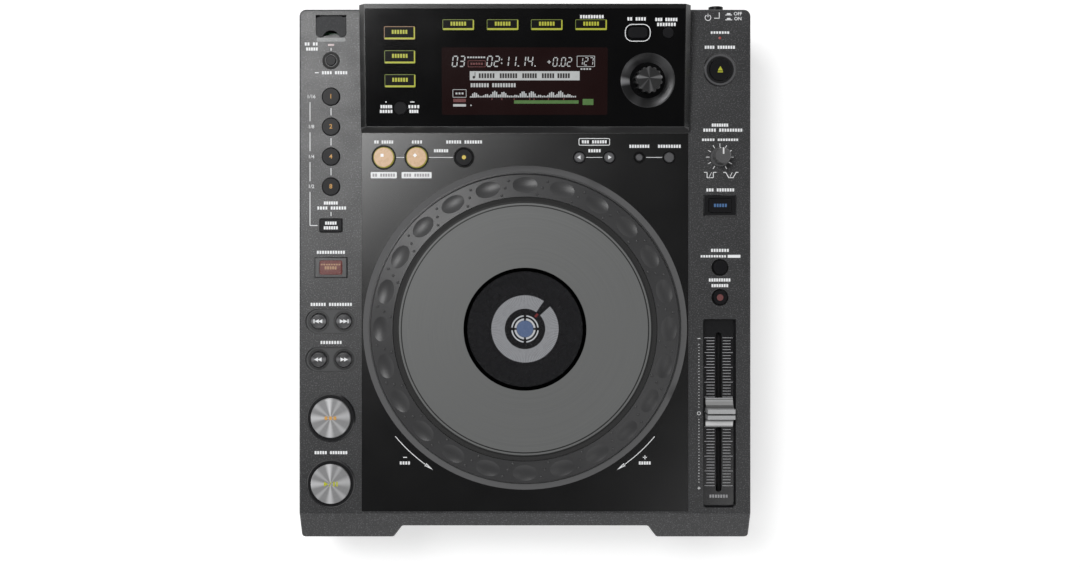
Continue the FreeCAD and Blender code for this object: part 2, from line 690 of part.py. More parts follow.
def usb_hinge_axis():
    """Hinge line of the USB door: (y, z)."""
    return USB_ROW + USB_DOOR_DEPTH / 2 - USB_HINGE_RADIUS, DECK_HEIGHT - USB_HINGE_RADIUS


def usb_hinge_room():
    """Trough for the door's barrel and square corners over it, with clearance to turn."""
    y, z = usb_hinge_axis()
    half = USB_DOOR_WIDTH / 2 + BUTTON_GAP
    radius = USB_HINGE_RADIUS + MOVING_GAP
    trough = Part.makeCylinder(radius, 2 * half, Vector(LEFT_COLUMN - half, y, z), Vector(1, 0, 0))
    return trough.fuse(box(LEFT_COLUMN - half, LEFT_COLUMN + half, y, y + radius, z, DECK_HEIGHT + 1))


def usb_door():
    """Lid over the USB port, with a half-round finger notch; its barrel is its rounded rear edge."""
    door = rounded_box(LEFT_COLUMN, USB_ROW, USB_DOOR_WIDTH, USB_DOOR_DEPTH,
                       DECK_HEIGHT - USB_DOOR_SHEET + SEAT_GAP, DECK_HEIGHT, USB_DOOR_CORNER)
    front = USB_ROW - USB_DOOR_DEPTH / 2
    radius = (USB_NOTCH_WIDTH ** 2 / 4 + USB_NOTCH_DEPTH ** 2) / (2 * USB_NOTCH_DEPTH)
    notch = rod(LEFT_COLUMN, front + USB_NOTCH_DEPTH - radius, DECK_HEIGHT - USB_DOOR_SHEET, DECK_HEIGHT + 1, radius)
    y, z = usb_hinge_axis()
    behind = centred_box(LEFT_COLUMN, y + USB_DOOR_DEPTH, USB_DOOR_WIDTH, 2 * USB_DOOR_DEPTH,
                         DECK_HEIGHT - USB_DOOR_DEPTH, DECK_HEIGHT + 1)
    half = USB_DOOR_WIDTH / 2 - USB_DOOR_CORNER
    barrel = Part.makeCylinder(USB_HINGE_RADIUS, 2 * half, Vector(LEFT_COLUMN - half, y, z), Vector(1, 0, 0))
    return join([door.cut([notch, behind]), barrel])


def hood_block(y0, y1, half, down):
    """Wedge under the hood's sloping face, from y0 to y1, its top down below the face."""
    slope = tan(radians(HOOD_SLOPE))
    drop = down / cos(radians(HOOD_SLOPE))
    face = DECK_HEIGHT + HOOD_RISE - drop
    low = DECK_HEIGHT - DECK_SHEET
    return side_profile([(y0, low), (y1, low), (y1, face + (y1 - HOOD_EDGE) * slope),
                         (y0, face + (y0 - HOOD_EDGE) * slope)], -half, half)


def hood_shell():
    """Walls of the hood: raked front, bevelled sides and a ledge round the sloping face."""
    slope = tan(radians(HOOD_SLOPE))
    rear_rise = HOOD_RISE + (JOG_TO_REAR - HOOD_EDGE) * slope
    outer = side_profile([(HOOD_FOOT, DECK_HEIGHT - DECK_SHEET), (JOG_TO_REAR, DECK_HEIGHT - DECK_SHEET),
                          (JOG_TO_REAR, DECK_HEIGHT + rear_rise), (HOOD_EDGE, DECK_HEIGHT + HOOD_RISE),
                          (HOOD_FOOT, DECK_HEIGHT)], -HALF_DECK, HALF_DECK)
    length = FACE_REAR + 3 * HOOD_WALL
    for side in (-1, 1):
        corner = [Vector(side * (HALF_DECK - HOOD_BEVEL_WIDTH), -HOOD_WALL * 2, 0),
                  Vector(side * (HALF_DECK + 1), -HOOD_WALL * 2, 0),
                  Vector(side * (HALF_DECK + 1), -HOOD_WALL * 2, -HOOD_BEVEL_HEIGHT
                         * (HOOD_BEVEL_WIDTH + 1) / HOOD_BEVEL_WIDTH)]
        wedge = Part.Face(Part.makePolygon(corner + corner[:1])).extrude(Vector(0, length + HOOD_WALL, 0))
        outer = outer.cut(on_hood(wedge))
    room = hood_block(HOOD_EDGE + 1, JOG_TO_REAR - HOOD_WALL, HALF_DECK - HOOD_WALL, FACE_SHEET + FACE_LEDGE / 2)
    half = HALF_DECK - HOOD_BEVEL_WIDTH - HOOD_RIM
    seat = box(-half, half, HOOD_RIM, FACE_REAR, -FACE_SHEET, 5)
    opening = box(-half + FACE_LEDGE, half - FACE_LEDGE, HOOD_RIM + FACE_LEDGE, FACE_REAR - FACE_LEDGE, -8, 5)
    return outer.cut([room, on_hood(seat), on_hood(opening)])


def centre_panel():
    """Gloss deck with the sunk well and bezel ring of the jog wheel, and the hood's walls behind it."""
    top = DECK_HEIGHT
    deck = box(-HALF_DECK, HALF_DECK, DECK_FRONT, HOOD_FOOT + 1, top - DECK_SHEET, top)
    well_bottom = top - WELL_DEPTH - WELL_WALL
    ring = turned([(0, well_bottom), (WELL_RADIUS + WELL_WALL, well_bottom), (WELL_RADIUS + WELL_WALL, top - 1),
                   (BEZEL_RADIUS, top - 1), (BEZEL_RADIUS, top + 0.2), (WELL_RADIUS + BEZEL_FLAT, top + BEZEL_RISE),
                   (0, top + BEZEL_RISE)])
    panel = join([deck, ring, hood_shell()])
    well = rod(0, 0, top - WELL_DEPTH, top + BEZEL_RISE + 1, WELL_RADIUS)
    cuts = [well]
    for button in deck_buttons():
        hole = button.hole(DECK_SHEET)
        hole.translate(Vector(0, 0, top))
        cuts.append(hole)
    return panel.cut(cuts).removeSplitter()


def display_panel():
    """Gloss face of the hood, with holes for its keys and the sunk dish of the selector."""
    half = HALF_DECK - HOOD_BEVEL_WIDTH - HOOD_RIM - PANEL_GAP
    face = box(-half, half, HOOD_RIM + PANEL_GAP, FACE_REAR - PANEL_GAP, -FACE_SHEET, 0)
    row = face_row(SELECTOR_ROW)
    dish = turned([(0, -DISH_DEPTH - DISH_SHEET), (DISH_RADIUS, -DISH_DEPTH - DISH_SHEET), (DISH_RADIUS, 0.4),
                   (0, 0.4)], SELECTOR_X, row)
    hollow = turned([(0, -DISH_DEPTH), (DISH_INNER, -DISH_DEPTH), (DISH_RADIUS - 0.8, 0.4), (DISH_RADIUS - 0.8, 1),
                     (0, 1)], SELECTOR_X, row)
    shaft_hole = rod(SELECTOR_X, row, -DISH_DEPTH - DISH_SHEET - 1, 1, SHAFT_RADIUS + MOVING_GAP)
    holes = [button.hole(FACE_SHEET) for button in hood_buttons()]
    return on_hood(face.fuse(dish).cut([hollow, shaft_hole] + holes).removeSplitter())


def switch_places(buttons, sheet):
    """Centre and top height of each button's switch below its panel's face."""
    return [(button.x, button.y, button.switch_height(sheet)) for button in buttons]


def display_module():
    """Screen body on its board, with the switches of the hood's keys and the selector's encoder."""
    top = FACE_BOARD_TOP
    half = HALF_DECK - HOOD_WALL - FACE_BOARD_IN
    board = box(-half, half, FACE_BOARD_IN, FACE_REAR - FACE_BOARD_IN, top - BOARD_SHEET, top)
    screen = centred_box(0, face_row(JOG_TO_REAR - SCREEN_BACK), SCREEN_WIDTH, SCREEN_DEPTH, top, -FACE_SHEET)
    pieces = [board, screen]
    for x, y, height in switch_places(hood_buttons(), FACE_SHEET):
        pieces.append(centred_box(x, y, SWITCH_SIZE, SWITCH_SIZE, top, height))
    row = face_row(SELECTOR_ROW)
    pieces.append(centred_box(SELECTOR_X, row, POT_SIZE, POT_SIZE, top, -DISH_DEPTH - DISH_SHEET - SEAT_GAP))
    bore = rod(SELECTOR_X, row, top - BOARD_SHEET - 1, 1, SHAFT_RADIUS + RUNNING_GAP)
    return on_hood(join(pieces).cut(bore))


def selector_shaft():
    """Plain shaft that the selector turns on and that is pushed down to choose."""
    row = face_row(SELECTOR_ROW)
    low = FACE_BOARD_TOP - BOARD_SHEET
    shaft = rod(SELECTOR_X, row, low, -DISH_DEPTH + SELECTOR_HEIGHT - 2 * MOVING_GAP - SELECTOR_CROWN, SHAFT_RADIUS)
    collar = rod(SELECTOR_X, row, -DISH_DEPTH + MOVING_GAP + BUTTON_TRAVEL, -DISH_DEPTH + SELECTOR_SEAT,
                 SHAFT_RADIUS + SHAFT_COLLAR)
    return on_hood(join([shaft, collar]))


def selector_knob():
    """Scalloped knob, bored to turn on its shaft."""
    row = face_row(SELECTOR_ROW)
    base = -DISH_DEPTH + SELECTOR_SEAT + SEAT_GAP
    top = -DISH_DEPTH + SELECTOR_HEIGHT
    knob = rod(SELECTOR_X, row, base, top, SELECTOR_RADIUS)
    crown = edges_where(knob, lambda edge: edge.BoundBox.ZMin > top - 0.01)
    knob = knob.makeChamfer(0.8, crown)
    flute = SELECTOR_RADIUS * pi / SELECTOR_LOBES * 0.8
    cuts = []
    for i in range(SELECTOR_LOBES):
        angle = 2 * pi * i / SELECTOR_LOBES
        reach = SELECTOR_RADIUS + flute - SELECTOR_LOBE_DEPTH
        cuts.append(rod(SELECTOR_X + reach * cos(angle), row + reach * sin(angle), base - 1, top + 1, flute))
    bore_top = -DISH_DEPTH + SELECTOR_HEIGHT - SELECTOR_CROWN
    cuts.append(rod(SELECTOR_X, row, base - 1, bore_top, SHAFT_RADIUS + RUNNING_GAP))
    return on_hood(knob.cut(cuts))


def adjust_knob():
    """Slim ribbed knob with its own shaft down into the potentiometer."""
    x = RIGHT_COLUMN
    base = DECK_HEIGHT + MOVING_GAP
    top = DECK_HEIGHT + ADJUST_HEIGHT
    knob = turned([(0, base), (ADJUST_RADIUS, base), (ADJUST_RADIUS, base + ADJUST_SKIRT),
                   (ADJUST_RADIUS - 0.8, base + ADJUST_SKIRT + 0.6), (ADJUST_RADIUS - 1.2, top - 0.8),
                   (ADJUST_RADIUS - 2.0, top), (0, top)], x, ADJUST_ROW)
    flutes = []
    for i in range(ADJUST_RIBS):
        angle = 2 * pi * (i + 0.5) / ADJUST_RIBS
        flutes.append(rod(x + ADJUST_RADIUS * cos(angle), ADJUST_ROW + ADJUST_RADIUS * sin(angle),
                          base + ADJUST_SKIRT + 1, top + 1, 1.1))
    pointer = box(x - 0.5, x + 0.5, ADJUST_ROW + 1, ADJUST_ROW + ADJUST_RADIUS, top - 0.4, top + 1)
    shaft = rod(x, ADJUST_ROW, KEY_BOARD_TOP + SEAT_GAP, base + 1, SHAFT_RADIUS)
    return join([knob.cut(flutes + [pointer]), shaft])


def fader_cap():
    """Tempo fader's cap, hollowed before and behind its crest, on the lever that drives the track."""
    base = DECK_HEIGHT - FADER_SINK + SEAT_GAP + MOVING_GAP
    half = FADER_CAP_LENGTH / 2
    crest = FADER_CAP_CREST / 2
    top = base + FADER_CAP_FLANGE + FADER_CAP_RISE
    outline = [Vector(0, -half, base), Vector(0, half, base), Vector(0, half, base + FADER_CAP_FLANGE)]
    rear_dip = Vector(0, crest + FADER_CAP_DIP_OUT, base + FADER_CAP_FLANGE + FADER_CAP_DIP_UP)
    front_dip = Vector(0, -crest - FADER_CAP_DIP_OUT, base + FADER_CAP_FLANGE + FADER_CAP_DIP_UP)
    edges = [Part.LineSegment(outline[0], outline[1]).toShape(), Part.LineSegment(outline[1], outline[2]).toShape(),
             Part.Arc(outline[2], rear_dip, Vector(0, crest, top)).toShape(),
             Part.LineSegment(Vector(0, crest, top), Vector(0, -crest, top)).toShape(),
             Part.Arc(Vector(0, -crest, top), front_dip, Vector(0, -half, base + FADER_CAP_FLANGE)).toShape(),
             Part.LineSegment(Vector(0, -half, base + FADER_CAP_FLANGE), outline[0]).toShape()]
    cap = Part.Face(Part.Wire(edges)).extrude(Vector(FADER_CAP_WIDTH, 0, 0))
    cap.translate(Vector(FADER_X - FADER_CAP_WIDTH / 2, FADER_MIDDLE, 0))
    groove = centred_box(FADER_X, FADER_MIDDLE, FADER_CAP_WIDTH + 1, FADER_LINE, top - 0.4, top + 1)
    foot = DECK_HEIGHT - FADER_SINK - FADER_FLOOR - FADER_TRACK_HEIGHT / 2
    lever = centred_box(FADER_X, FADER_MIDDLE, FADER_LEVER, FADER_LEVER_LENGTH, foot, base + 1)
    return join([cap.cut(groove), lever])


def fader_track():
    """Slide potentiometer: a long channel under the fader's slot."""
    top = DECK_HEIGHT - FADER_SINK - FADER_FLOOR
    length = 2 * FADER_TRAVEL + FADER_LEVER_LENGTH + 10
    body = centred_box(FADER_X, FADER_MIDDLE, FADER_TRACK_WIDTH, length, top - FADER_TRACK_HEIGHT, top)
    channel = centred_box(FADER_X, FADER_MIDDLE, FADER_SLOT, length - 2 * FADER_TRACK_WALL,
                          top - FADER_TRACK_HEIGHT / 2 - MOVING_GAP, top + 1)
    return body.cut(channel)


def dimple_cutter():
    """Torus whose lowest part presses one oval thumb dimple; the rim's surface is at z = 0 and Y is its length."""
    across = (DIMPLE_WIDTH ** 2 / 4 + DIMPLE_DEPTH ** 2) / (2 * DIMPLE_DEPTH)
    around = (DIMPLE_LENGTH ** 2 / 4 + DIMPLE_DEPTH ** 2) / (2 * DIMPLE_DEPTH)
    return Part.makeTorus(around - across, across, Vector(0, 0, around - DIMPLE_DEPTH), Vector(1, 0, 0))


def jog_ring():
    """Rim of the jog wheel with 24 thumb dimples, its web and the sleeve that turns on the hub."""
    top = DECK_HEIGHT
    bore = HUB_RADIUS + RUNNING_GAP
    sleeve = bore + SLEEVE_WALL
    web_bottom = top + JOG_WEB_TOP - JOG_WALL
    ring = turned([
        (bore, top - JOG_SKIRT + 1), (sleeve, top - JOG_SKIRT + 1), (sleeve, web_bottom),
        (JOG_RADIUS - JOG_WALL, web_bottom - 2), (JOG_RADIUS - JOG_WALL, top - JOG_SKIRT),
        (JOG_RADIUS, top - JOG_SKIRT), (JOG_RADIUS, top + JOG_SHOULDER),
        (JOG_RADIUS - JOG_RIM_EDGE, top + JOG_RIM_TOP - JOG_RIM_FALL), (JOG_RIM_INNER, top + JOG_RIM_TOP),
        (JOG_RIM_INNER, top + JOG_WEB_TOP), (sleeve, top + JOG_WEB_TOP), (sleeve, top + PLATE_TOP - PLATE_SHEET
         - JOG_PRESS - 0.1), (bore, top + PLATE_TOP - PLATE_SHEET - JOG_PRESS - 0.1)])
    lean = -JOG_RIM_FALL / (JOG_RADIUS - JOG_RIM_EDGE - JOG_RIM_INNER)
    height = top + JOG_RIM_TOP + (JOG_RIM_WIDTH - DIMPLE_INSET) * lean
    cutter = dimple_cutter()
    cutter.rotate(Vector(0, 0, 0), Vector(0, 1, 0), -lean * 180 / pi)
    cutter.translate(Vector(JOG_RADIUS - DIMPLE_INSET, 0, height))
    cuts = []
    for i in range(DIMPLE_COUNT):
        dimple = cutter.copy()
        dimple.rotate(Vector(0, 0, 0), Vector(0, 0, 1), 360 * i / DIMPLE_COUNT)
        cuts.append(dimple)
    return ring.cut(cuts)


def jog_plate():
    """Top plate that a hand rests on: bevelled edge, seat for the window and a collar round the sleeve."""
    top = DECK_HEIGHT + PLATE_TOP
    under = top - PLATE_SHEET
    collar = HUB_RADIUS + RUNNING_GAP + SLEEVE_WALL + RUNNING_GAP
    low = DECK_HEIGHT + JOG_WEB_TOP + JOG_PRESS + 0.2
    edge = JOG_RIM_INNER - MOVING_GAP
    seat = WINDOW_RADIUS + PANEL_GAP
    return turned([
        (collar, low), (collar + 2, low), (collar + 2, under), (edge - 3, under), (edge - 3, low), (edge, low),
        (edge, top - PLATE_BEVEL), (PLATE_RADIUS, top), (seat, top), (seat, top - WINDOW_SHEET),
        (WINDOW_RADIUS - WINDOW_LEDGE, top - WINDOW_SHEET), (WINDOW_RADIUS - WINDOW_LEDGE, under), (collar, under)])


def jog_window():
    """Dark clear cap let into the middle of the plate."""
    top = DECK_HEIGHT + PLATE_TOP
    return turned([(0, top - WINDOW_SHEET), (WINDOW_RADIUS, top - WINDOW_SHEET), (WINDOW_RADIUS, top - 0.3),
                   (WINDOW_RADIUS - 0.3, top), (0, top)])


def jog_hub():
    """Fixed post screwed to the floor of the well; the jog wheel turns on it."""
    floor = DECK_HEIGHT - WELL_DEPTH
    top = DECK_HEIGHT + HUB_TOP
    return turned([(0, floor), (HUB_FLANGE, floor), (HUB_FLANGE, floor + HUB_FLANGE_SHEET),
                   (HUB_RADIUS, floor + HUB_FLANGE_SHEET), (HUB_RADIUS, top - 1), (HUB_RADIUS - 1, top), (0, top)])


def jog_display():
    """Round display on top of the fixed hub, seen through the window."""
    low = DECK_HEIGHT + HUB_TOP
    return rod(0, 0, low, low + JOG_DISPLAY_SHEET, JOG_DISPLAY_RADIUS)


def key_board():
    """Board of the two wings and the deck's row, with switches, knob potentiometer and USB socket."""
    top = KEY_BOARD_TOP
    low = top - BOARD_SHEET
    edge = CAVITY_HALF - KEY_BOARD_MARGIN
    inner = HALF_DECK + KEY_BOARD_REACH
    rear = JOG_TO_REAR - KEY_BOARD_REAR
    left = box(-edge, -inner, KEY_BOARD_FRONT - JOG_TO_LIP, rear, low, top)
    right = box(inner, edge, FADER_REAR + 2 * CASE_WALL, rear, low, top)
    bridge = box(-inner - 1, inner + 1, DECK_ROW - KEY_BRIDGE_FRONT, DECK_ROW + KEY_BRIDGE_REAR, low, top)
    shell = centred_box(LEFT_COLUMN, USB_ROW - 1, USB_SHELL_WIDTH, USB_SHELL_DEPTH,
                        DECK_HEIGHT - USB_WELL_SINK - USB_SHELL_HEIGHT, DECK_HEIGHT - USB_WELL_SINK)
    pieces = [left, right, bridge, shell]
    for x, y, height in switch_places(left_buttons() + right_buttons() + deck_buttons(), TOP_WALL):
        pieces.append(centred_box(x, y, SWITCH_SIZE, SWITCH_SIZE, top, DECK_HEIGHT + height))
    pieces.append(centred_box(RIGHT_COLUMN, ADJUST_ROW, POT_SIZE, POT_SIZE, top, DECK_HEIGHT - TOP_WALL - 1))
    board = join(pieces)
    mouth = centred_box(LEFT_COLUMN, USB_ROW - 1, USB_MOUTH_WIDTH, USB_MOUTH_DEPTH,
                        DECK_HEIGHT - USB_WELL_SINK - USB_SHELL_HEIGHT + 2, DECK_HEIGHT)
    cuts = [mouth, rod(RIGHT_COLUMN, ADJUST_ROW, top, DECK_HEIGHT, SHAFT_RADIUS + RUNNING_GAP)]
    for x, y in boss_places():
        cuts.append(rod(x, y, low - 1, top + 1, BOSS_RADIUS + MOVING_GAP))
    tongue = box(LEFT_COLUMN - USB_MOUTH_WIDTH / 2 + 0.6, LEFT_COLUMN + USB_MOUTH_WIDTH / 2 - 0.6,
                 USB_ROW - 1 + USB_MOUTH_DEPTH / 2 - USB_TONGUE, USB_ROW - 1 + USB_MOUTH_DEPTH / 2,
                 DECK_HEIGHT - USB_WELL_SINK - USB_SHELL_HEIGHT + 1, DECK_HEIGHT - USB_WELL_SINK - 1)
    return board.cut(cuts).fuse(tongue).removeSplitter()


def chassis():
    """Sheet-steel tray: floor, low folded sides, and the rear wall with its socket holes and vents."""
    face = case_outline(TRAY_INSET)
    face.translate(Vector(0, 0, FOOT_HEIGHT))
    floor = face.extrude(Vector(0, 0, TRAY_SHEET))
    half = CAVITY_HALF
    front = -JOG_TO_LIP + DECK_MARGIN + LEDGE
    outer = JOG_TO_REAR - REAR_SET_IN
    rear = box(-half, half, outer - TRAY_SHEET, outer, TRAY_TOP - 1, DECK_HEIGHT - max(TOP_WALL, DECK_SHEET))
    pieces = [floor, rear]
    for side in (-1, 1):
        x0, x1 = sorted((side * half, side * (half - TRAY_SHEET)))
        pieces.append(box(x0, x1, front + 2, outer, TRAY_TOP - 1, TRAY_TOP + TRAY_FLANGE))
    left, right, board_front, board_rear = main_board_edges()
    for x in (left + BOARD_POST_IN, right - BOARD_POST_IN):
        for y in (board_front + BOARD_POST_IN, board_rear - BOARD_POST_IN):
            pieces.append(rod(x, y, TRAY_TOP - 1, MAIN_BOARD_HEIGHT, BOARD_POST_RADIUS))
    tray = join(pieces)
    cuts = rear_holes()
    for x, y in boss_places():
        cuts.append(rod(x, y, TRAY_TOP, TRAY_TOP + TRAY_FLANGE + 1, BOSS_RADIUS + MOVING_GAP))
        cuts.append(rod(x, y, FOOT_HEIGHT - 1, TRAY_TOP + 1, SCREW_RADIUS + PANEL_GAP))
    return tray.cut(cuts).removeSplitter()


def rear_holes():
    """Holes in the rear wall for the sockets, the power button and the vents."""
    outer = JOG_TO_REAR - REAR_SET_IN

    def bore(x, z, radius):
        return Part.makeCylinder(radius, TRAY_SHEET + 2, Vector(x, outer + 1, z), Vector(0, -1, 0))

    holes = [bore(RIGHT_COLUMN, POWER_HEIGHT, POWER_RADIUS + BUTTON_GAP)]
    holes += [bore(x, SOCKET_HEIGHT, PHONO_RADIUS + PANEL_GAP) for x in phono_places() + [JACK_IN - HALF_CASE]]
    y0 = outer - TRAY_SHEET - 1
    width = INLET_WIDTH + 2 * PANEL_GAP
    holes.append(upright_box(HALF_CASE - INLET_IN, SOCKET_HEIGHT, width, INLET_DEPTH + 2 * PANEL_GAP, y0, outer + 1))
    holes.append(upright_box(DATA_IN - HALF_CASE, SOCKET_HEIGHT, DATA_WIDTH + 2 * PANEL_GAP,
                             DATA_HEIGHT + 2 * PANEL_GAP, y0, outer + 1))
    for i in range(VENT_COUNT):
        x = (i - (VENT_COUNT - 1) / 2) * VENT_PITCH + VENT_X
        holes.append(upright_box(x, SOCKET_HEIGHT, VENT_WIDTH, VENT_HEIGHT, y0, outer + 1))
    return holes


def upright_box(x, z, width, height, y0, y1):
    """Block centred on (x, z) as seen from behind, from y0 to y1."""
    return box(x - width / 2, x + width / 2, y0, y1, z - height / 2, z + height / 2)


def phono_places():
    """Places across the rear wall of the right, left and digital phono sockets."""
    return [PHONO_IN - HALF_CASE + i * PHONO_PITCH for i in range(3)]


def lying_rod(x, z, y0, y1, radius):
    """Rod along Y."""
    return Part.makeCylinder(radius, y1 - y0, Vector(x, y0, z), Vector(0, 1, 0))


def data_socket(outer):
    """Square USB socket: a shell round its tongue."""
    x = DATA_IN - HALF_CASE
    shell = upright_box(x, SOCKET_HEIGHT, DATA_WIDTH, DATA_HEIGHT, outer - DATA_REACH, outer + DATA_LIP)
    mouth = upright_box(x, SOCKET_HEIGHT, DATA_WIDTH - 2 * DATA_WALL, DATA_HEIGHT - 2 * DATA_WALL,
                        outer - DATA_REACH + 2 * DATA_WALL, outer + 1)
    tongue = upright_box(x, SOCKET_HEIGHT, DATA_TONGUE_WIDTH, DATA_TONGUE_HEIGHT, outer - DATA_REACH + DATA_WALL,
                         outer - 1)
    return shell.cut(mouth).fuse(tongue)


def mains_inlet(outer):
    """Mains inlet: a flanged cup with three pins."""
    x = HALF_CASE - INLET_IN
    cup = upright_box(x, SOCKET_HEIGHT, INLET_WIDTH, INLET_DEPTH, outer - INLET_REACH, outer)
    lip = upright_box(x, SOCKET_HEIGHT, INLET_WIDTH + 2 * INLET_LIP, INLET_DEPTH + 2 * INLET_LIP, outer,
                      outer + INLET_LIP_SHEET)
    hollow = upright_box(x, SOCKET_HEIGHT, INLET_WIDTH - 2 * INLET_WALL, INLET_DEPTH - 2 * INLET_WALL,
                         outer - INLET_HOLLOW, outer + INLET_LIP_SHEET + 1)
    pins = []
    for step, lift in ((-1, -INLET_PIN_DROP), (0, INLET_PIN_LIFT), (1, -INLET_PIN_DROP)):
        pins.append(upright_box(x + step * INLET_PIN_PITCH, SOCKET_HEIGHT + lift, INLET_PIN_WIDTH,
                                INLET_PIN_HEIGHT, outer - INLET_HOLLOW - 1, outer - INLET_WALL))
    return cup.fuse(lip).cut(hollow).fuse(pins)


def rear_sockets():
    """Phono sockets, control jack, square USB socket and mains inlet, each its own solid."""
    outer = JOG_TO_REAR - REAR_SET_IN
    solids = []
    for x in phono_places():
        barrel = lying_rod(x, SOCKET_HEIGHT, outer - SOCKET_ROOT, outer + PHONO_LENGTH, PHONO_RADIUS)
        bore = lying_rod(x, SOCKET_HEIGHT, outer, outer + PHONO_LENGTH + 1, PHONO_BORE)
        solids.append(barrel.cut(bore))
    x = JACK_IN - HALF_CASE
    nut = lying_rod(x, SOCKET_HEIGHT, outer - SOCKET_ROOT, outer + JACK_LENGTH, PHONO_RADIUS)
    solids.append(nut.cut(lying_rod(x, SOCKET_HEIGHT, outer - SOCKET_ROOT + 2, outer + JACK_LENGTH + 1, JACK_BORE)))
    solids.append(data_socket(outer))
    solids.append(mains_inlet(outer))
    return Part.makeCompound(solids)


def power_button():
    """Push button in the rear wall, with its collar inside."""
    outer = JOG_TO_REAR - REAR_SET_IN
    stem = Part.makeCylinder(POWER_RADIUS, POWER_RISE + TRAY_SHEET + 1, Vector(RIGHT_COLUMN, outer + POWER_RISE,
                                                                         POWER_HEIGHT), Vector(0, -1, 0))
    collar = Part.makeCylinder(POWER_RADIUS + POWER_COLLAR, POWER_COLLAR, Vector(RIGHT_COLUMN, outer - TRAY_SHEET - SEAT_GAP,
                                                               POWER_HEIGHT), Vector(0, -1, 0))
    return join([stem, collar])


def feet():
    """Four rubber feet under the tray."""
    solids = []
    for x in (-HALF_CASE + FOOT_INSET, HALF_CASE - FOOT_INSET):
        for y in (WING_FRONT + FOOT_INSET, JOG_TO_REAR - FOOT_INSET):
            solids.append(turned([(0, 0), (FOOT_RADIUS - 1, 0), (FOOT_RADIUS, 1), (FOOT_RADIUS, FOOT_HEIGHT),
                                  (0, FOOT_HEIGHT)], x, y))
    return Part.makeCompound(solids)


def screws():
    """Pan-head screws up through the tray into the case's bosses."""
    solids = []
    for x, y in boss_places():
        low = FOOT_HEIGHT - SCREW_HEAD_HEIGHT
        radius = SCREW_RADIUS - RUNNING_GAP
        tip = TRAY_TOP + SCREW_LENGTH - MOVING_GAP
        solids.append(turned([(0, low), (SCREW_HEAD / 2, low), (SCREW_HEAD, low + SCREW_HEAD_HEIGHT / 2),
                              (SCREW_HEAD, FOOT_HEIGHT), (radius, FOOT_HEIGHT), (radius, tip), (0, tip)], x, y))
    return Part.makeCompound(solids)


def main_board_edges():
    """Left, right, front and rear edges of the main board."""
    half = HALF_CASE - MAIN_BOARD_IN
    rear = JOG_TO_REAR - MAIN_BOARD_REAR_GAP
    return -half, half, rear - MAIN_BOARD_LENGTH, rear


def main_board():
    """Main circuit board on the tray's posts, with its transformer, capacitors and chips."""
    left, right, front, rear = main_board_edges()
    low = MAIN_BOARD_HEIGHT
    top = low + BOARD_SHEET
    middle = (front + rear) / 2
    pieces = [box(left, right, front, rear, low, top),
              centred_box(right - TRANSFORMER_WIDTH, middle, TRANSFORMER_WIDTH, TRANSFORMER_LENGTH, top,
                          top + TRANSFORMER_HEIGHT)]
    for i in (1, 2):
        pieces.append(rod(right - TRANSFORMER_WIDTH - (i + 1) * CAPACITOR_PITCH, middle, top,
                          top + CAPACITOR_HEIGHT, CAPACITOR_RADIUS))
    for x in (left / 6, left / 2):
        pieces.append(centred_box(x, middle, CHIP_SIZE, CHIP_SIZE, top, top + CHIP_HEIGHT))
    return join(pieces)


def drive_frame():
    """Folded frame of the disc drive, standing on the tray: floor, sides, roof rails and the motor."""
    half = DRIVE_WIDTH / 2
    floor = DISC_PLANE - DRIVE_FLOOR
    roof = DISC_PLANE + DRIVE_ROOF
    pieces = [box(-half, half, DRIVE_FRONT, DRIVE_REAR, floor - DRIVE_SHEET, floor),
              box(-half, half, DRIVE_FRONT + 8, DRIVE_REAR, roof, roof + DRIVE_SHEET),
              box(-half, half, DRIVE_REAR - DRIVE_SHEET, DRIVE_REAR, floor - DRIVE_SHEET, roof)]
    for side in (-1, 1):
        x0, x1 = sorted((side * half, side * (half - DRIVE_SHEET)))
        pieces.append(box(x0, x1, DRIVE_FRONT, DRIVE_REAR, TRAY_TOP, roof))
    frame = join(pieces)
    pit_front = SPINDLE_Y + PICKUP_REACH - PICKUP_LENGTH / 2 - PICKUP_ROOM
    pit_rear = SPINDLE_Y + PICKUP_REACH + PICKUP_TRAVEL + PICKUP_LENGTH / 2 + PICKUP_ROOM
    half_pit = PICKUP_WIDTH / 2 + PICKUP_ROOM
    pit = box(-half_pit, half_pit, pit_front, pit_rear, floor - DRIVE_SHEET - 1, floor + 1)
    arch = box(-half - 1, half + 1, DRIVE_FRONT + 14, DRIVE_REAR - 14, TRAY_TOP - 1, floor - 8)
    pins = Part.makeCylinder(ROLLER_PIN + RUNNING_GAP, DRIVE_WIDTH + 2, Vector(-half - 1, ROLLER_Y, roller_height()),
                             Vector(1, 0, 0))
    frame = frame.cut([pit, arch, pins])
    motor = rod(0, SPINDLE_Y, floor, floor + MOTOR_HEIGHT, MOTOR_RADIUS)
    rails = [lying_rod(side * RAIL_SPACING / 2, floor - 1, pit_front - 1, pit_rear + 1, RAIL_RADIUS)
             for side in (-1, 1)]
    frame = join([frame, motor] + rails)
    return frame.cut(rod(0, SPINDLE_Y, floor + 1, floor + MOTOR_HEIGHT + 1, 1.0 + RUNNING_GAP))


def roller_height():
    return DISC_PLANE - DISC_GAP - ROLLER_RADIUS


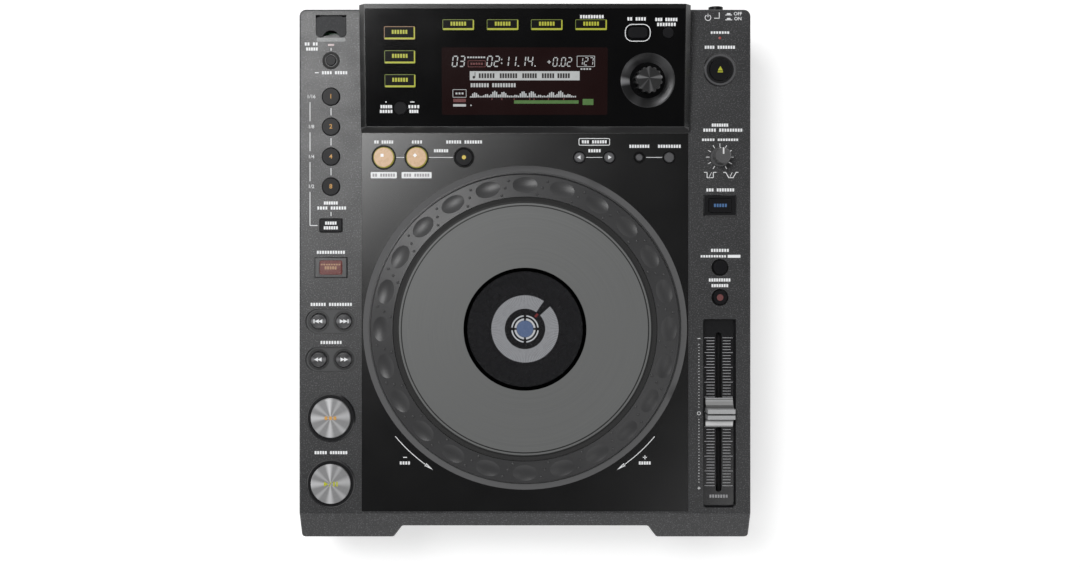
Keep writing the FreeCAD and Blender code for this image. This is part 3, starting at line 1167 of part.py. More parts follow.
def loading_roller():
    """Rubber roller that draws the disc in, waisted towards its middle, on a steel pin."""
    half = DRIVE_WIDTH / 2 - DRIVE_SHEET - MOVING_GAP
    waist = ROLLER_RADIUS - 0.6
    profile = [(0, -half), (ROLLER_RADIUS, -half), (waist, 0), (ROLLER_RADIUS, half), (0, half)]
    roller = turned(profile)
    pin = rod(0, 0, -half - MOVING_GAP - DRIVE_SHEET, half + MOVING_GAP + DRIVE_SHEET, ROLLER_PIN)
    roller = join([roller, pin])
    roller.rotate(Vector(0, 0, 0), Vector(0, 1, 0), 90)
    roller.translate(Vector(0, ROLLER_Y, roller_height()))
    return roller


def turntable():
    """Disc seat and centring cone on the spindle motor's shaft."""
    floor = DISC_PLANE - DRIVE_FLOOR
    low = floor + MOTOR_HEIGHT + MOVING_GAP
    top = DISC_PLANE - DISC_GAP
    return turned([(0, floor + 1 + MOVING_GAP), (1.0, floor + 1 + MOVING_GAP), (1.0, low), (TURNTABLE_RADIUS, low),
                   (TURNTABLE_RADIUS, low + 2), (TURNTABLE_CONE, low + 2), (TURNTABLE_CONE - 1.5, top), (0, top)],
                  0, SPINDLE_Y)


def optical_pickup():
    """Laser sledge on its two rails, with the lens on top."""
    floor = DISC_PLANE - DRIVE_FLOOR
    y = SPINDLE_Y + PICKUP_REACH
    body = centred_box(0, y, PICKUP_WIDTH, PICKUP_LENGTH, floor - PICKUP_HEIGHT / 2 - 1, floor + PICKUP_HEIGHT / 2 - 1)
    lens = rod(0, y, floor + PICKUP_HEIGHT / 2 - 2, floor + PICKUP_HEIGHT / 2, 3.0)
    bores = [Part.makeCylinder(RAIL_RADIUS + RUNNING_GAP, PICKUP_LENGTH + 2,
                               Vector(side * RAIL_SPACING / 2, y - PICKUP_LENGTH / 2 - 1, floor - 1),
                               Vector(0, 1, 0)) for side in (-1, 1)]
    return join([body, lens]).cut(bores)


def button_nodes():
    """Every push button by name, set into its panel."""
    nodes = {}
    for button in left_buttons() + right_buttons() + deck_buttons():
        shape = button.cap(TOP_WALL)
        shape.translate(Vector(0, 0, DECK_HEIGHT))
        nodes[button.name] = shape
    for button in hood_buttons():
        nodes[button.name] = on_hood(button.cap(FACE_SHEET))
    nodes["power_button"] = power_button()
    return nodes


def all_nodes():
    makers = [top_case, centre_panel, display_panel, display_module, selector_shaft, selector_knob, adjust_knob,
              fader_cap, fader_track, jog_ring, jog_plate, jog_window, jog_hub, jog_display, usb_door, key_board,
              chassis, rear_sockets, feet, screws, main_board, drive_frame, loading_roller, turntable,
              optical_pickup]
    nodes = {maker.__name__: maker() for maker in makers}
    nodes.update(button_nodes())
    return nodes


def main():
    os.makedirs("parts", exist_ok=True)
    for name, shape in all_nodes().items():
        placed = shape.copy()
        placed.translate(ORIGIN_SHIFT)
        placed.exportStep(f"parts/{name}.step")


if __name__ == "__main__":
    main()
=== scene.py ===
"""Looks of the tabletop disc player: finishes, printed marks, lamps and screen contents round the CAD model.

Lengths are in millimetres with the jog wheel's axis at x = 0, y = 0 and the table at z = 0, as in the part's
source. They become metres in the row frame where a piece is settled.
"""

import logging
from contextlib import contextmanager
from dataclasses import dataclass, field
from enum import Enum
from math import atan2, cos, degrees, pi, radians, sin
from typing import Callable, ClassVar, Iterator, Union

import bmesh
import bpy
from mathutils import Matrix, Vector


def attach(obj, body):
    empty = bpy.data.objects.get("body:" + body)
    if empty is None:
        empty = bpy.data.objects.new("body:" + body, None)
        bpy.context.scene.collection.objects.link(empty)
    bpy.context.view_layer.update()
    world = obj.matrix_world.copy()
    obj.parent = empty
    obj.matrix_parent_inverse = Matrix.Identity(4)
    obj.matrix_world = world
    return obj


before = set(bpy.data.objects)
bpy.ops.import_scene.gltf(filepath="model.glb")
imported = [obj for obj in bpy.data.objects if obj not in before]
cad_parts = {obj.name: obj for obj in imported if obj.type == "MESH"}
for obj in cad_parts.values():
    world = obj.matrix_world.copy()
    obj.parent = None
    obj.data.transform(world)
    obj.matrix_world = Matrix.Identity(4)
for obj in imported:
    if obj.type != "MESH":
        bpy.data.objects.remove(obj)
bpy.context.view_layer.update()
LOG = logging.getLogger("disc_player")

Colour = tuple[float, float, float]
Value = Union["Wire", float, tuple]
Label = tuple[float, float, float, int]

MM = 0.001
AXIS_SHIFT = -39.75
DECK_TOP = 80.0
REAR_WALL = 214.5
HOOD_EDGE = 134.5
HOOD_LIFT = 89.0
HOOD_SLOPE = 6.0

LEFT_COLUMN = -131.0
STOP_ROW = 180.4
BEAT_ROWS = {"1": 156.0, "2": 135.7, "4": 115.4, "8": 95.3}
DIRECTION_ROW = 40.6
PAIR_ROWS = {"track": 4.3, "search": -21.5}
PAIR_REACH = 8.5
PAD_ROWS = {"cue": -60.8, "play": -105.2}
RIGHT_COLUMN = 131.65
EJECT_ROW = 174.1
KNOB_ROW = 115.2
MODE_ROW = 82.5
TEMPO_ROWS = {"range": 40.7, "master": 20.4}
FADER_COLUMN = 131.4
FADER_MIDDLE = -57.9
WAYS = {"back": -1, "forward": 1}

STROKES = {"0": "abcdef", "1": "bc", "2": "abged", "3": "abgcd", "4": "fgbc", "5": "afgcd", "6": "afgedc", "7": "abc",
           "8": "abcdefg", "9": "abcdfg"}
STROKE_PLACES = {"a": (0.5, 1.0), "b": (1.0, 0.75), "c": (1.0, 0.25), "d": (0.5, 0.0), "e": (0.0, 0.25),
                 "f": (0.0, 0.75), "g": (0.5, 0.5)}


def toned(colour: Colour, gain: float, lift: float = 0.0) -> Colour:
    """Colour made brighter or darker, with no part of it over 1."""
    return tuple(min(part * gain + lift, 1.0) for part in colour)


def arithmetic(operation: str, swapped: bool = False) -> Callable[["Wire", Value], "Wire"]:
    """Makes a method that puts a Math node on a wire and another value.

    Args:
        operation: the node's operation.
        swapped: whether the other value comes first.

    Returns:
        The method.
    """
    def method(self: "Wire", other: Value) -> "Wire":
        """Result of the operation on both values."""
        return self.graph.maths(operation, *((other, self) if swapped else (self, other)))
    return method


class Wire:
    """Output of a shader node that takes part in plain arithmetic."""

    def __init__(self, graph: "Graph", socket: bpy.types.NodeSocket) -> None:
        """Keeps the tree that it belongs to and its socket."""
        self.graph, self.socket = graph, socket

    __add__ = __radd__ = arithmetic("ADD")
    __sub__ = arithmetic("SUBTRACT")
    __rsub__ = arithmetic("SUBTRACT", swapped=True)
    __mul__ = __rmul__ = arithmetic("MULTIPLY")
    __lt__ = arithmetic("LESS_THAN")
    __gt__ = arithmetic("GREATER_THAN")

    def __abs__(self) -> "Wire":
        """Size of the value without its sign."""
        return self.graph.maths("ABSOLUTE", self)


class Graph:
    """Node tree of one material or of the world."""

    def __init__(self, tree: bpy.types.NodeTree) -> None:
        """Starts with an empty tree."""
        self.tree = tree
        tree.nodes.clear()

    def node(self, kind: str, settings: dict | None = None, sockets: dict | None = None) -> bpy.types.Node:
        """Adds a node.

        Args:
            kind: type name of the node.
            settings: attributes of the node, set before its sockets.
            sockets: values or wires by the socket's name or number.

        Returns:
            The new node.
        """
        made = self.tree.nodes.new(kind)
        for key, value in (settings or {}).items():
            setattr(made, key, value)
        for key, value in (sockets or {}).items():
            if isinstance(value, Wire):
                self.tree.links.new(value.socket, made.inputs[key])
            else:
                wide = made.inputs[key].type == "RGBA" and len(value) == 3
                made.inputs[key].default_value = (*value, 1.0) if wide else value
        return made

    def maths(self, operation: str, *values: Value, clamp: bool = False) -> Wire:
        """Adds a Math node on the values and returns its result."""
        settings = {"operation": operation, "use_clamp": clamp}
        return Wire(self, self.node("ShaderNodeMath", settings, dict(enumerate(values))).outputs[0])

    def vectors(self, operation: str, *values: Value, output: str = "Vector") -> Wire:
        """Adds a Vector Math node on the values and returns the named output."""
        made = self.node("ShaderNodeVectorMath", {"operation": operation}, dict(enumerate(values)))
        return Wire(self, made.outputs[output])

    def mix(self, factor: Value, first: Value, second: Value) -> Wire:
        """Mixes two colours by a factor."""
        made = self.node("ShaderNodeMix", {"data_type": "RGBA"}, {0: factor, 6: first, 7: second})
        return Wire(self, made.outputs[2])

    def place(self) -> Wire:
        """Place on the piece in metres, which is also its place in the row frame."""
        return Wire(self, self.node("ShaderNodeTexCoord").outputs["Object"])

    def flat(self, x: float, y: float) -> Wire:
        """Vector in plan from an upright axis, in millimetres."""
        away = self.vectors("SUBTRACT", self.place(), (x * MM, (y + AXIS_SHIFT) * MM, 0.0))
        return self.vectors("MULTIPLY", away, (1 / MM, 1 / MM, 0.0))

    def parts(self, vector: Wire) -> tuple[Wire, Wire]:
        """Parts of a vector across and along."""
        outputs = self.node("ShaderNodeSeparateXYZ", None, {0: vector}).outputs
        return Wire(self, outputs[0]), Wire(self, outputs[1])

    def reach(self, x: float, y: float) -> Wire:
        """Distance in plan from an upright axis, in millimetres."""
        return self.vectors("LENGTH", self.flat(x, y), output="Value")

    def bearing(self, x: float, y: float) -> Wire:
        """Bearing in plan from an upright axis, in radians."""
        across, along = self.parts(self.flat(x, y))
        return self.maths("ARCTAN2", along, across)

    def noise(self, size: float, detail: float = 2.0, vector: Wire | None = None) -> Wire:
        """Noise from 0 to 1 whose grains are about the given size in millimetres."""
        sockets = {"Vector": vector or self.place(), "Scale": 1 / (size * MM), "Detail": detail}
        return Wire(self, self.node("ShaderNodeTexNoise", None, sockets).outputs[0])

    def bump(self, height: Wire, depth: float) -> Wire:
        """Normal of a surface raised by height times depth, in millimetres."""
        sockets = {"Height": height, "Distance": depth * MM, "Strength": 1.0}
        return Wire(self, self.node("ShaderNodeBump", None, sockets).outputs[0])

    def surface(self, sockets: dict) -> None:
        """Ends the material in a Principled shader with the given sockets."""
        shader = self.node("ShaderNodeBsdfPrincipled", None, sockets)
        self.node("ShaderNodeOutputMaterial", None, {"Surface": Wire(self, shader.outputs[0])})


@dataclass(frozen=True)
class Patch:
    """Place in a moulding that has another colour and gloss, told by where it lies in plan.

    Attributes:
        x, y: its middle.
        width: its diameter, or its width where it has a depth.
        depth: 0 for a disc.
        colour: its colour.
        roughness: its roughness.
        metallic: how far it is metal.
        round_ends: whether a long patch ends in half circles.
        inner: diameter inside which a round patch leaves off, or 0.
    """

    x: float
    y: float
    width: float
    depth: float
    colour: Colour
    roughness: float
    metallic: float = 0.0
    round_ends: bool = False
    inner: float = 0.0

    def mask(self, graph: Graph) -> Wire:
        """Tells where the patch lies.

        Args:
            graph: tree of the material.

        Returns:
            One on the patch and nothing elsewhere.
        """
        if self.depth == 0:
            reach = graph.reach(self.x, self.y)
            return (reach < self.width / 2) * (reach > self.inner / 2 - MM)
        across, along = graph.parts(graph.flat(self.x, self.y))
        if self.round_ends:
            past = graph.maths("MAXIMUM", abs(across) - (self.width - self.depth) / 2, 0.0)
            return past * past + along * along < self.depth ** 2 / 4
        return (abs(across) < self.width / 2) * (abs(along) < self.depth / 2)


def patched(graph: Graph, patches: tuple[Patch, ...], colour: Wire, rough: Wire) -> dict[str, Value]:
    """Lays patches over a ground.

    Args:
        graph: tree of the material.
        patches: the patches, the later ones over the earlier ones.
        colour: colour of the ground.
        rough: roughness of the ground.

    Returns:
        The shader's sockets for colour, roughness and metal.
    """
    metal: Value = 0.0
    for patch in patches:
        mask = patch.mask(graph)
        colour = graph.mix(mask, colour, patch.colour)
        rough = rough + mask * (patch.roughness - rough)
        if patch.metallic:
            metal = mask * patch.metallic + metal
    return {"Base Color": colour, "Roughness": rough, "Metallic": metal}


@dataclass(frozen=True)
class Finish:
    """A finish, which becomes one material the first time that it is used.

    Attributes:
        name: the material's name.
        colour: its main colour.
        slot: the record's material slot for pieces in this finish.
    """

    name: str
    colour: Colour
    slot: ClassVar[str] = "satin_silver"

    def dress(self, graph: Graph) -> None:
        """Writes the finish's nodes."""
        raise NotImplementedError

    def material(self) -> bpy.types.Material:
        """Finds or makes the material.

        Returns:
            The finish's material.
        """
        found = bpy.data.materials.get(self.name)
        if found:
            return found
        made = bpy.data.materials.new(self.name)
        made.use_nodes = True
        self.dress(Graph(made.node_tree))
        return made


@dataclass(frozen=True)
class Moulding(Finish):
    """Moulded plastic with a fine grain and pale flecks.

    Attributes:
        fleck: colour of the flecks.
        roughness: mean roughness.
        grain: size of the flecks.
        depth: height of the grain.
        shine: specular level.
        patches: places with another colour.
    """

    fleck: Colour
    roughness: float = 0.5
    grain: float = 0.55
    depth: float = 0.012
    shine: float = 0.5
    patches: tuple[Patch, ...] = ()

    def dress(self, graph: Graph) -> None:
        """Flecked colour, uneven gloss and a grained surface.

        Args:
            graph: tree of the material.
        """
        grain = graph.noise(self.grain, 1.0)
        flecks = graph.maths("MULTIPLY", grain - 0.56, 9.0, clamp=True)
        colour = graph.mix(flecks, self.colour, self.fleck)
        rough = self.roughness + (graph.noise(14.0) - 0.5) * 0.14
        graph.surface({**patched(graph, self.patches, colour, rough), "Specular IOR Level": self.shine,
                       "Normal": graph.bump(grain, self.depth)})


@dataclass(frozen=True)
class Lacquer(Finish):
    """Gloss moulding or acrylic, with faint wipe marks.

    Attributes:
        roughness: roughness where it is cleanest.
        smear: how much rougher it is where it has been wiped.
        shine: specular level.
        patches: places with another colour.
    """

    roughness: float = 0.10
    smear: float = 0.10
    shine: float = 0.5
    patches: tuple[Patch, ...] = ()
    slot: ClassVar[str] = "button_black"

    def dress(self, graph: Graph) -> None:
        """Smooth surface whose gloss changes a little from place to place.

        Args:
            graph: tree of the material.
        """
        wiped = graph.noise(26.0, 4.0)
        colour = graph.mix(wiped, self.colour, toned(self.colour, 1.4, 0.001))
        rough = self.roughness + wiped * self.smear
        graph.surface({**patched(graph, self.patches, colour, rough), "Specular IOR Level": self.shine,
                       "Normal": graph.bump(graph.noise(60.0), 0.02)})


@dataclass(frozen=True)
class Spun(Finish):
    """Metal or satin plastic turned round an upright axis, with fine rings, uneven streaks round it and painted
    highlights.

    Attributes:
        x, y: place of the axis.
        roughness: mean roughness.
        metallic: how far it is metal.
        pitch: spacing of the turning marks.
        depth: depth of the turning marks.
        highlight_fans: (bearing in degrees, half width in degrees, gain) of the painted highlights, wedges round the
            axis that are palest at their bearing.
        shading_bands: (inner, outer) radius of the black rings of painted shade.
    """

    x: float = 0.0
    y: float = 0.0
    roughness: float = 0.32
    metallic: float = 1.0
    pitch: float = 0.9
    depth: float = 0.02
    highlight_fans: tuple[tuple[float, float, float], ...] = ()
    shading_bands: tuple[tuple[float, float], ...] = ()

    def dress(self, graph: Graph) -> None:
        """Fine rings, streaks that run round the axis, painted highlights in wedges and black rings of painted shade.

        Args:
            graph: tree of the material.
        """
        reach = graph.reach(self.x, self.y)
        turn = graph.bearing(self.x, self.y)
        round_axis = graph.node("ShaderNodeCombineXYZ", None, {0: reach * 0.004, 1: turn * 0.0004})
        streak = graph.noise(1.0, 3.0, Wire(graph, round_axis.outputs[0]))
        colour = graph.mix(streak, toned(self.colour, 0.82), toned(self.colour, 1.16))
        # Painted highlights: wedges of paler colour round the axis, in place of the lamp's light on the turned
        # surface.
        for bearing, spread, gain in self.highlight_fans:
            edge = cos(radians(spread))
            facing = graph.maths("COSINE", turn - radians(bearing))
            painted_highlight = graph.maths("MULTIPLY", facing - edge, 1 / (1 - edge), clamp=True)
            colour = graph.mix(painted_highlight * painted_highlight * 0.85, colour, toned(self.colour, gain))
        # Painted shade: black rings where a groove lies.
        for inner, outer in self.shading_bands:
            colour = graph.mix((reach > inner) * (reach < outer), colour, (0.006,) * 3)
        rings = graph.maths("SINE", reach * (2 * pi / self.pitch))
        graph.surface({"Base Color": colour, "Metallic": self.metallic,
                       "Roughness": self.roughness + (streak - 0.5) * 0.15,
                       "Normal": graph.bump(rings, self.depth)})


@dataclass(frozen=True)
class Ink(Finish):
    """Printed ink or a thin label film.

    Attributes:
        roughness: mean roughness.
    """

    roughness: float = 0.45

    def dress(self, graph: Graph) -> None:
        """Ink with a slightly uneven lay.

        Args:
            graph: tree of the material.
        """
        lay = graph.noise(0.7)
        graph.surface({"Base Color": graph.mix(lay, toned(self.colour, 0.88), self.colour),
                       "Roughness": self.roughness + (lay - 0.5) * 0.1, "Normal": graph.bump(lay, 0.004)})


@dataclass(frozen=True)
class Lit(Finish):
    """Lens, key or screen mark with a lamp behind it, in the colour of its light.

    Attributes:
        body: colour of the unlit plastic.
        strength: brightness of the light.
        x, y: middle of the lens.
        rim: radius past which the rim colour holds, or 0.
        rim_colour: colour of the light past the rim radius.
        rays: number of fine dark lines round the middle, or 0.
    """

    body: Colour = (0.02, 0.02, 0.02)
    strength: float = 0.8
    x: float = 0.0
    y: float = 0.0
    rim: float = 0.0
    rim_colour: Colour = (0.0, 0.0, 0.0)
    rays: int = 0
    slot: ClassVar[str] = "lit_key"

    def dress(self, graph: Graph) -> None:
        """Uneven light through a smooth lens.

        Args:
            graph: tree of the material.
        """
        cloud = graph.noise(3.0)
        glow = graph.mix(cloud, toned(self.colour, 0.82), self.colour)
        if self.rim:
            glow = graph.mix(graph.reach(self.x, self.y) > self.rim, glow, self.rim_colour)
        if self.rays:
            wave = graph.maths("SINE", graph.bearing(self.x, self.y) * self.rays)
            glow = graph.mix((wave > 0.35) * 0.4, glow, (0.02,) * 3)
        graph.surface({"Base Color": self.body, "Roughness": 0.2 + cloud * 0.15, "Coat Weight": 0.6,
                       "Coat Roughness": 0.05, "Emission Color": glow, "Emission Strength": self.strength})


@dataclass(frozen=True)
class SmokedClear(Finish):
    """Smoked clear acrylic in the colour that it lets through."""

    def dress(self, graph: Graph) -> None:
        """Clear gloss with faint wipe marks."""
        graph.surface({"Base Color": self.colour, "Roughness": graph.noise(18.0, 4.0) * 0.05,
                       "Transmission Weight": 1.0, "IOR": 1.25})


@dataclass(frozen=True)
class SheetSteel(Finish):
    """Painted or plated sheet steel.

    Attributes:
        roughness: mean roughness.
        metallic: how far the metal shows.
    """

    roughness: float = 0.4
    metallic: float = 1.0

    def dress(self, graph: Graph) -> None:
        """Rolled sheet: long faint streaks and a fine grain.

        Args:
            graph: tree of the material.
        """
        streak = graph.noise(1.2, 3.0, graph.vectors("MULTIPLY", graph.place(), (1.0, 0.06, 1.0)))
        graph.surface({"Base Color": graph.mix(streak, toned(self.colour, 0.85), self.colour),
                       "Metallic": self.metallic, "Roughness": self.roughness + (streak - 0.5) * 0.2,
                       "Normal": graph.bump(graph.noise(0.4), 0.006)})


@dataclass(frozen=True)
class Board(Finish):
    """Circuit board under green lacquer.

    Attributes:
        track: colour over a copper track.
    """

    colour: Colour = (0.012, 0.07, 0.03)
    track: Colour = (0.03, 0.14, 0.06)

    def dress(self, graph: Graph) -> None:
        """Squared tracks that show through the lacquer.

        Args:
            graph: tree of the material.
        """
        cells = graph.node("ShaderNodeTexVoronoi", {"distance": "MANHATTAN"},
                           {"Vector": graph.place(), "Scale": 1 / (4 * MM)})
        tracks = Wire(graph, cells.outputs["Distance"]) < 0.45
        graph.surface({"Base Color": graph.mix(tracks, self.colour, self.track),
                       "Roughness": 0.35 + tracks * 0.1, "Normal": graph.bump(tracks, 0.03)})


class Panel(Enum):
    """Faces of the player that carry marks and small pieces."""

    DECK = "deck"
    HOOD = "hood"
    REAR = "rear"

    def along(self, y: float) -> float:
        """Distance up the face for a place y behind the jog wheel's axis."""
        return (y - HOOD_EDGE) / cos(radians(HOOD_SLOPE)) if self is Panel.HOOD else y

    def matrix(self, height: float) -> Matrix:
        """Place of the face in the row frame.

        Args:
            height: distance above the face.

        Returns:
            The matrix from millimetres on the face to metres in the row frame.
        """
        lifted = Matrix.Translation((0, 0, height))
        if self is Panel.HOOD:
            edge = Matrix.Translation((0, HOOD_EDGE + AXIS_SHIFT, HOOD_LIFT))
            return Matrix.Scale(MM, 4) @ edge @ Matrix.Rotation(radians(HOOD_SLOPE), 4, "X") @ lifted
        if self is Panel.REAR:
            turned = Matrix(((-1, 0, 0, 0), (0, 0, 1, REAR_WALL + AXIS_SHIFT), (0, 1, 0, 0), (0, 0, 0, 1)))
            return Matrix.Scale(MM, 4) @ turned @ lifted
        return Matrix.Scale(MM, 4) @ Matrix.Translation((0, AXIS_SHIFT, DECK_TOP)) @ lifted


def only(*pieces: bpy.types.Object) -> None:
    """Selects these pieces and nothing else, with the last one active.

    Args:
        pieces: the pieces.
    """
    bpy.ops.object.select_all(action="DESELECT")
    for piece in pieces:
        piece.select_set(True)
    if pieces:
        bpy.context.view_layer.objects.active = pieces[-1]


@contextmanager
def editing(kind: str = "FACE") -> Iterator[bpy.types.Object]:
    """Edits the active piece with everything in it selected.

    Args:
        kind: VERT, EDGE or FACE.

    Yields:
        The piece; the block runs in edit mode.
    """
    piece = bpy.context.active_object
    only(piece)
    bpy.ops.object.mode_set(mode="EDIT")
    bpy.ops.mesh.select_mode(type=kind)
    bpy.ops.mesh.select_all(action="SELECT")
    yield piece
    bpy.ops.object.mode_set(mode="OBJECT")


def stretch_all(across: float, along: float) -> None:
    """Stretches what is selected in edit mode about the origin."""
    bpy.ops.transform.resize(value=(across, along, 1), center_override=(0, 0, 0))


def delete_faces(piece: bpy.types.Object, test: Callable[[Vector], bool]) -> None:
    """Deletes the faces whose middle passes a test, in edit mode.

    Args:
        piece: the piece that is edited.
        test: tells for a face's middle whether the face goes.
    """
    mesh = bmesh.from_edit_mesh(piece.data)
    for face in mesh.faces:
        face.select_set(test(face.calc_center_median()))
    mesh.select_flush_mode()
    bmesh.update_edit_mesh(piece.data)
    bpy.ops.mesh.delete(type="FACE")


def freeze_places() -> None:
    """Moves the places of the selected pieces into their meshes."""
    bpy.ops.object.transform_apply(location=True, rotation=True, scale=True)


def finish_piece(name: str, body: str, finish: Finish) -> None:
    """Names and dresses the active piece and makes it ride on its body.

    Args:
        name: the piece's name.
        body: CAD body that it moves with.
        finish: its finish.
    """
    piece = bpy.context.active_object
    piece.name = piece.data.name = name
    piece.data.materials.clear()
    piece.data.materials.append(finish.material())
    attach(piece, body)
    LOG.info("%s: %d faces on %s", name, len(piece.data.polygons), body)


def dress_nodes(names: str, finish: Finish) -> None:
    """Gives a finish to CAD nodes.

    Args:
        names: names of the nodes with spaces between.
        finish: the finish.
    """
    for name in names.split():
        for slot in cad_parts[name].material_slots:
            slot.material = finish.material()


@dataclass
class Stencil:
    """Flat marks of one finish on one panel, cut as thin sheets and joined into one piece as its block ends.

    Attributes:
        name: the piece's name.
        finish: its finish.
        body: CAD body that it rides on.
        height: distance of the sheets' under side above the panel.
        panel: face that it lies on.
        thickness: thickness of the sheets.
        slot: the record's material slot, where it isn't the finish's own; not used.
        marks: marks that are laid so far.
        cut: a mark of each shape, by what tells it from the others.
    """

    name: str
    finish: Finish
    body: str = "case"
    height: float = 0.0
    panel: Panel = Panel.DECK
    thickness: float = 0.06
    slot: str = ""
    marks: list[bpy.types.Object] = field(default_factory=list)
    cut: dict[tuple, bpy.types.Object] = field(default_factory=dict)

    def __enter__(self) -> "Stencil":
        """Starts the block."""
        return self

    def __exit__(self, fault: type | None, *_: object) -> None:
        """Joins the marks, gives them their thickness and settles them on the panel.

        Args:
            fault: what went wrong in the block, if anything.
        """
        if fault:
            return
        only(*self.marks)
        freeze_places()
        if len(self.marks) > 1:
            bpy.ops.object.join()
        piece = bpy.context.active_object
        sheet = piece.modifiers.new("sheet", "SOLIDIFY")
        sheet.thickness = self.thickness
        sheet.offset = 1.0
        bpy.ops.object.modifier_apply(modifier=sheet.name)
        piece.data.transform(self.panel.matrix(self.height))
        finish_piece(self.name, self.body, self.finish)

    def lay(self, key: tuple, make: Callable[[], None], x: float, y: float, turn: float = 0.0) -> None:
        """Puts a mark on the panel; a shape that was cut before is copied.

        Args:
            key: what tells this shape from the others.
            make: cuts the shape about the origin and leaves it active.
            x: place across.
            y: place along.
            turn: turn in degrees, anticlockwise.
        """
        if key in self.cut:
            mark = self.cut[key].copy()
            mark.data = mark.data.copy()
            bpy.context.scene.collection.objects.link(mark)
        else:
            only()
            make()
            mark = self.cut[key] = bpy.context.active_object
        mark.location = (x, self.panel.along(y), 0)
        mark.rotation_euler = (0, 0, radians(turn))
        self.marks.append(mark)

    def bar(self, x: float, y: float, width: float, depth: float, turn: float = 0.0, corner: float = 0.0,
            band: float = 0.0) -> None:
        """Cuts a bar, or the outline of one.

        Args:
            x, y: its middle.
            width, depth: its size.
            turn: turn in degrees, anticlockwise.
            corner: how far its corners are rounded, or 0.
            band: width of the outline, or 0 for a whole bar.
        """
        def make() -> None:
            """Cuts it about the origin."""
            bpy.ops.mesh.primitive_plane_add(size=1)
            with editing("VERT"):
                stretch_all(width, depth)
                if corner:
                    bpy.ops.mesh.bevel(offset=corner, segments=5 if band else 4, affect="VERTICES")
                if band:
                    bpy.ops.mesh.select_mode(type="FACE")
                    bpy.ops.mesh.select_all(action="SELECT")
                    bpy.ops.mesh.inset(thickness=band)
                    bpy.ops.mesh.delete(type="FACE")
        self.lay(("bar", width, depth, corner, band), make, x, y, turn)

    def disc(self, x: float, y: float, radius: float, corners: int = 32, turn: float = 0.0,
             stretch: float = 1.0) -> None:
        """Cuts a disc, or a regular shape with a few corners.

        Args:
            x, y: its middle.
            radius: its radius, to the corners.
            corners: number of corners, the first one at the top.
            turn: turn in degrees, anticlockwise.
            stretch: how far it is drawn out towards the first corner.
        """
        def make() -> None:
            """Cuts it about the origin."""
            bpy.ops.mesh.primitive_circle_add(vertices=corners, radius=radius, fill_type="NGON")
            with editing():
                stretch_all(1, stretch)
        self.lay(("disc", radius, corners, stretch), make, x, y, turn)

    def ring(self, x: float, y: float, inner: float, outer: float, start: float = 0.0, sweep: float = 360.0,
             parts: int = 64) -> None:
        """Cuts a ring, or a part of it.

        Args:
            x, y: its middle.
            inner, outer: its radii.
            start: bearing in degrees from which it runs.
            sweep: degrees that it runs over.
            parts: number of faces in a whole ring.
        """
        def make() -> None:
            """Cuts it about the origin."""
            bpy.ops.mesh.primitive_circle_add(vertices=parts, radius=outer, fill_type="NGON")
            with editing() as piece:
                bpy.ops.mesh.inset(thickness=outer - inner)
                bpy.ops.mesh.delete(type="FACE")
                if sweep < 360:
                    delete_faces(piece, lambda at: (degrees(atan2(at.y, at.x)) - start) % 360 > sweep)
        self.lay(("ring", inner, outer, start, sweep, parts), make, x, y)

    def figures(self, x: float, y: float, text: str, size: float) -> None:
        """Cuts plain figures.

        Args:
            x, y: their middle.
            text: the figures.
            size: size of the type.
        """
        def make() -> None:
            """Cuts them about the origin."""
            bpy.ops.object.text_add()
            line = bpy.context.active_object.data
            line.body, line.size = text, size
            line.align_x = line.align_y = "CENTER"
            line.resolution_u, line.offset = 3, 0.018 * size
            bpy.ops.object.convert(target="MESH")
        self.lay(("figures", text, size), make, x, y)

    def dashes(self, left: float, right: float, y: float, tall: float = 2.1, gap: int = 0) -> None:
        """Cuts a row of plain dashes where a label is left off.

        Args:
            left, right: ends of the row.
            y: its place along.
            tall: height of the dashes.
            gap: number of a dash that is left out, or 0.
        """
        count = max(2, round((right - left) / 1.75))
        step = (right - left) / count
        for place in range(count):
            if not gap or place != gap:
                self.bar(left + step * (place + 0.5), y, 1.25, tall)

    def labels(self, labels: tuple[Label, ...], tall: float = 2.1) -> None:
        """Cuts a row of dashes for each (left, right, row, gap)."""
        for left, right, row, gap in labels:
            self.dashes(left, right, row, tall, gap)

    def digits(self, text: str, left: float, y: float, tall: float) -> None:
        """Cuts figures of seven leaning strokes.

        Args:
            text: figures, points, colons and plus signs.
            left: place of the first figure's left edge.
            y: place of the row.
            tall: height of a figure.
        """
        wide, thick = tall * 0.46, tall * 0.11
        pen = left
        for sign in text:
            if sign in STROKES:
                for stroke in STROKES[sign]:
                    across, up = STROKE_PLACES[stroke]
                    x = pen + across * wide + (up - 0.5) * tall * 0.12
                    row = y + (up - 0.5) * tall
                    if stroke in "adg":
                        self.bar(x, row, wide - thick, thick, corner=thick * 0.3)
                    else:
                        self.bar(x, row, thick, tall / 2 - thick, -7, corner=thick * 0.3)
                pen += wide + tall * 0.26
            elif sign == "+":
                self.bar(pen + wide * 0.4, y, wide * 0.9, thick)
                self.bar(pen + wide * 0.4, y, thick, wide * 0.9)
                pen += wide + tall * 0.22
            else:
                for up in ((-0.18, 0.18) if sign == ":" else (-0.46,)):
                    self.bar(pen, y + up * tall, thick * 1.2, thick * 1.2)
                pen += tall * 0.24


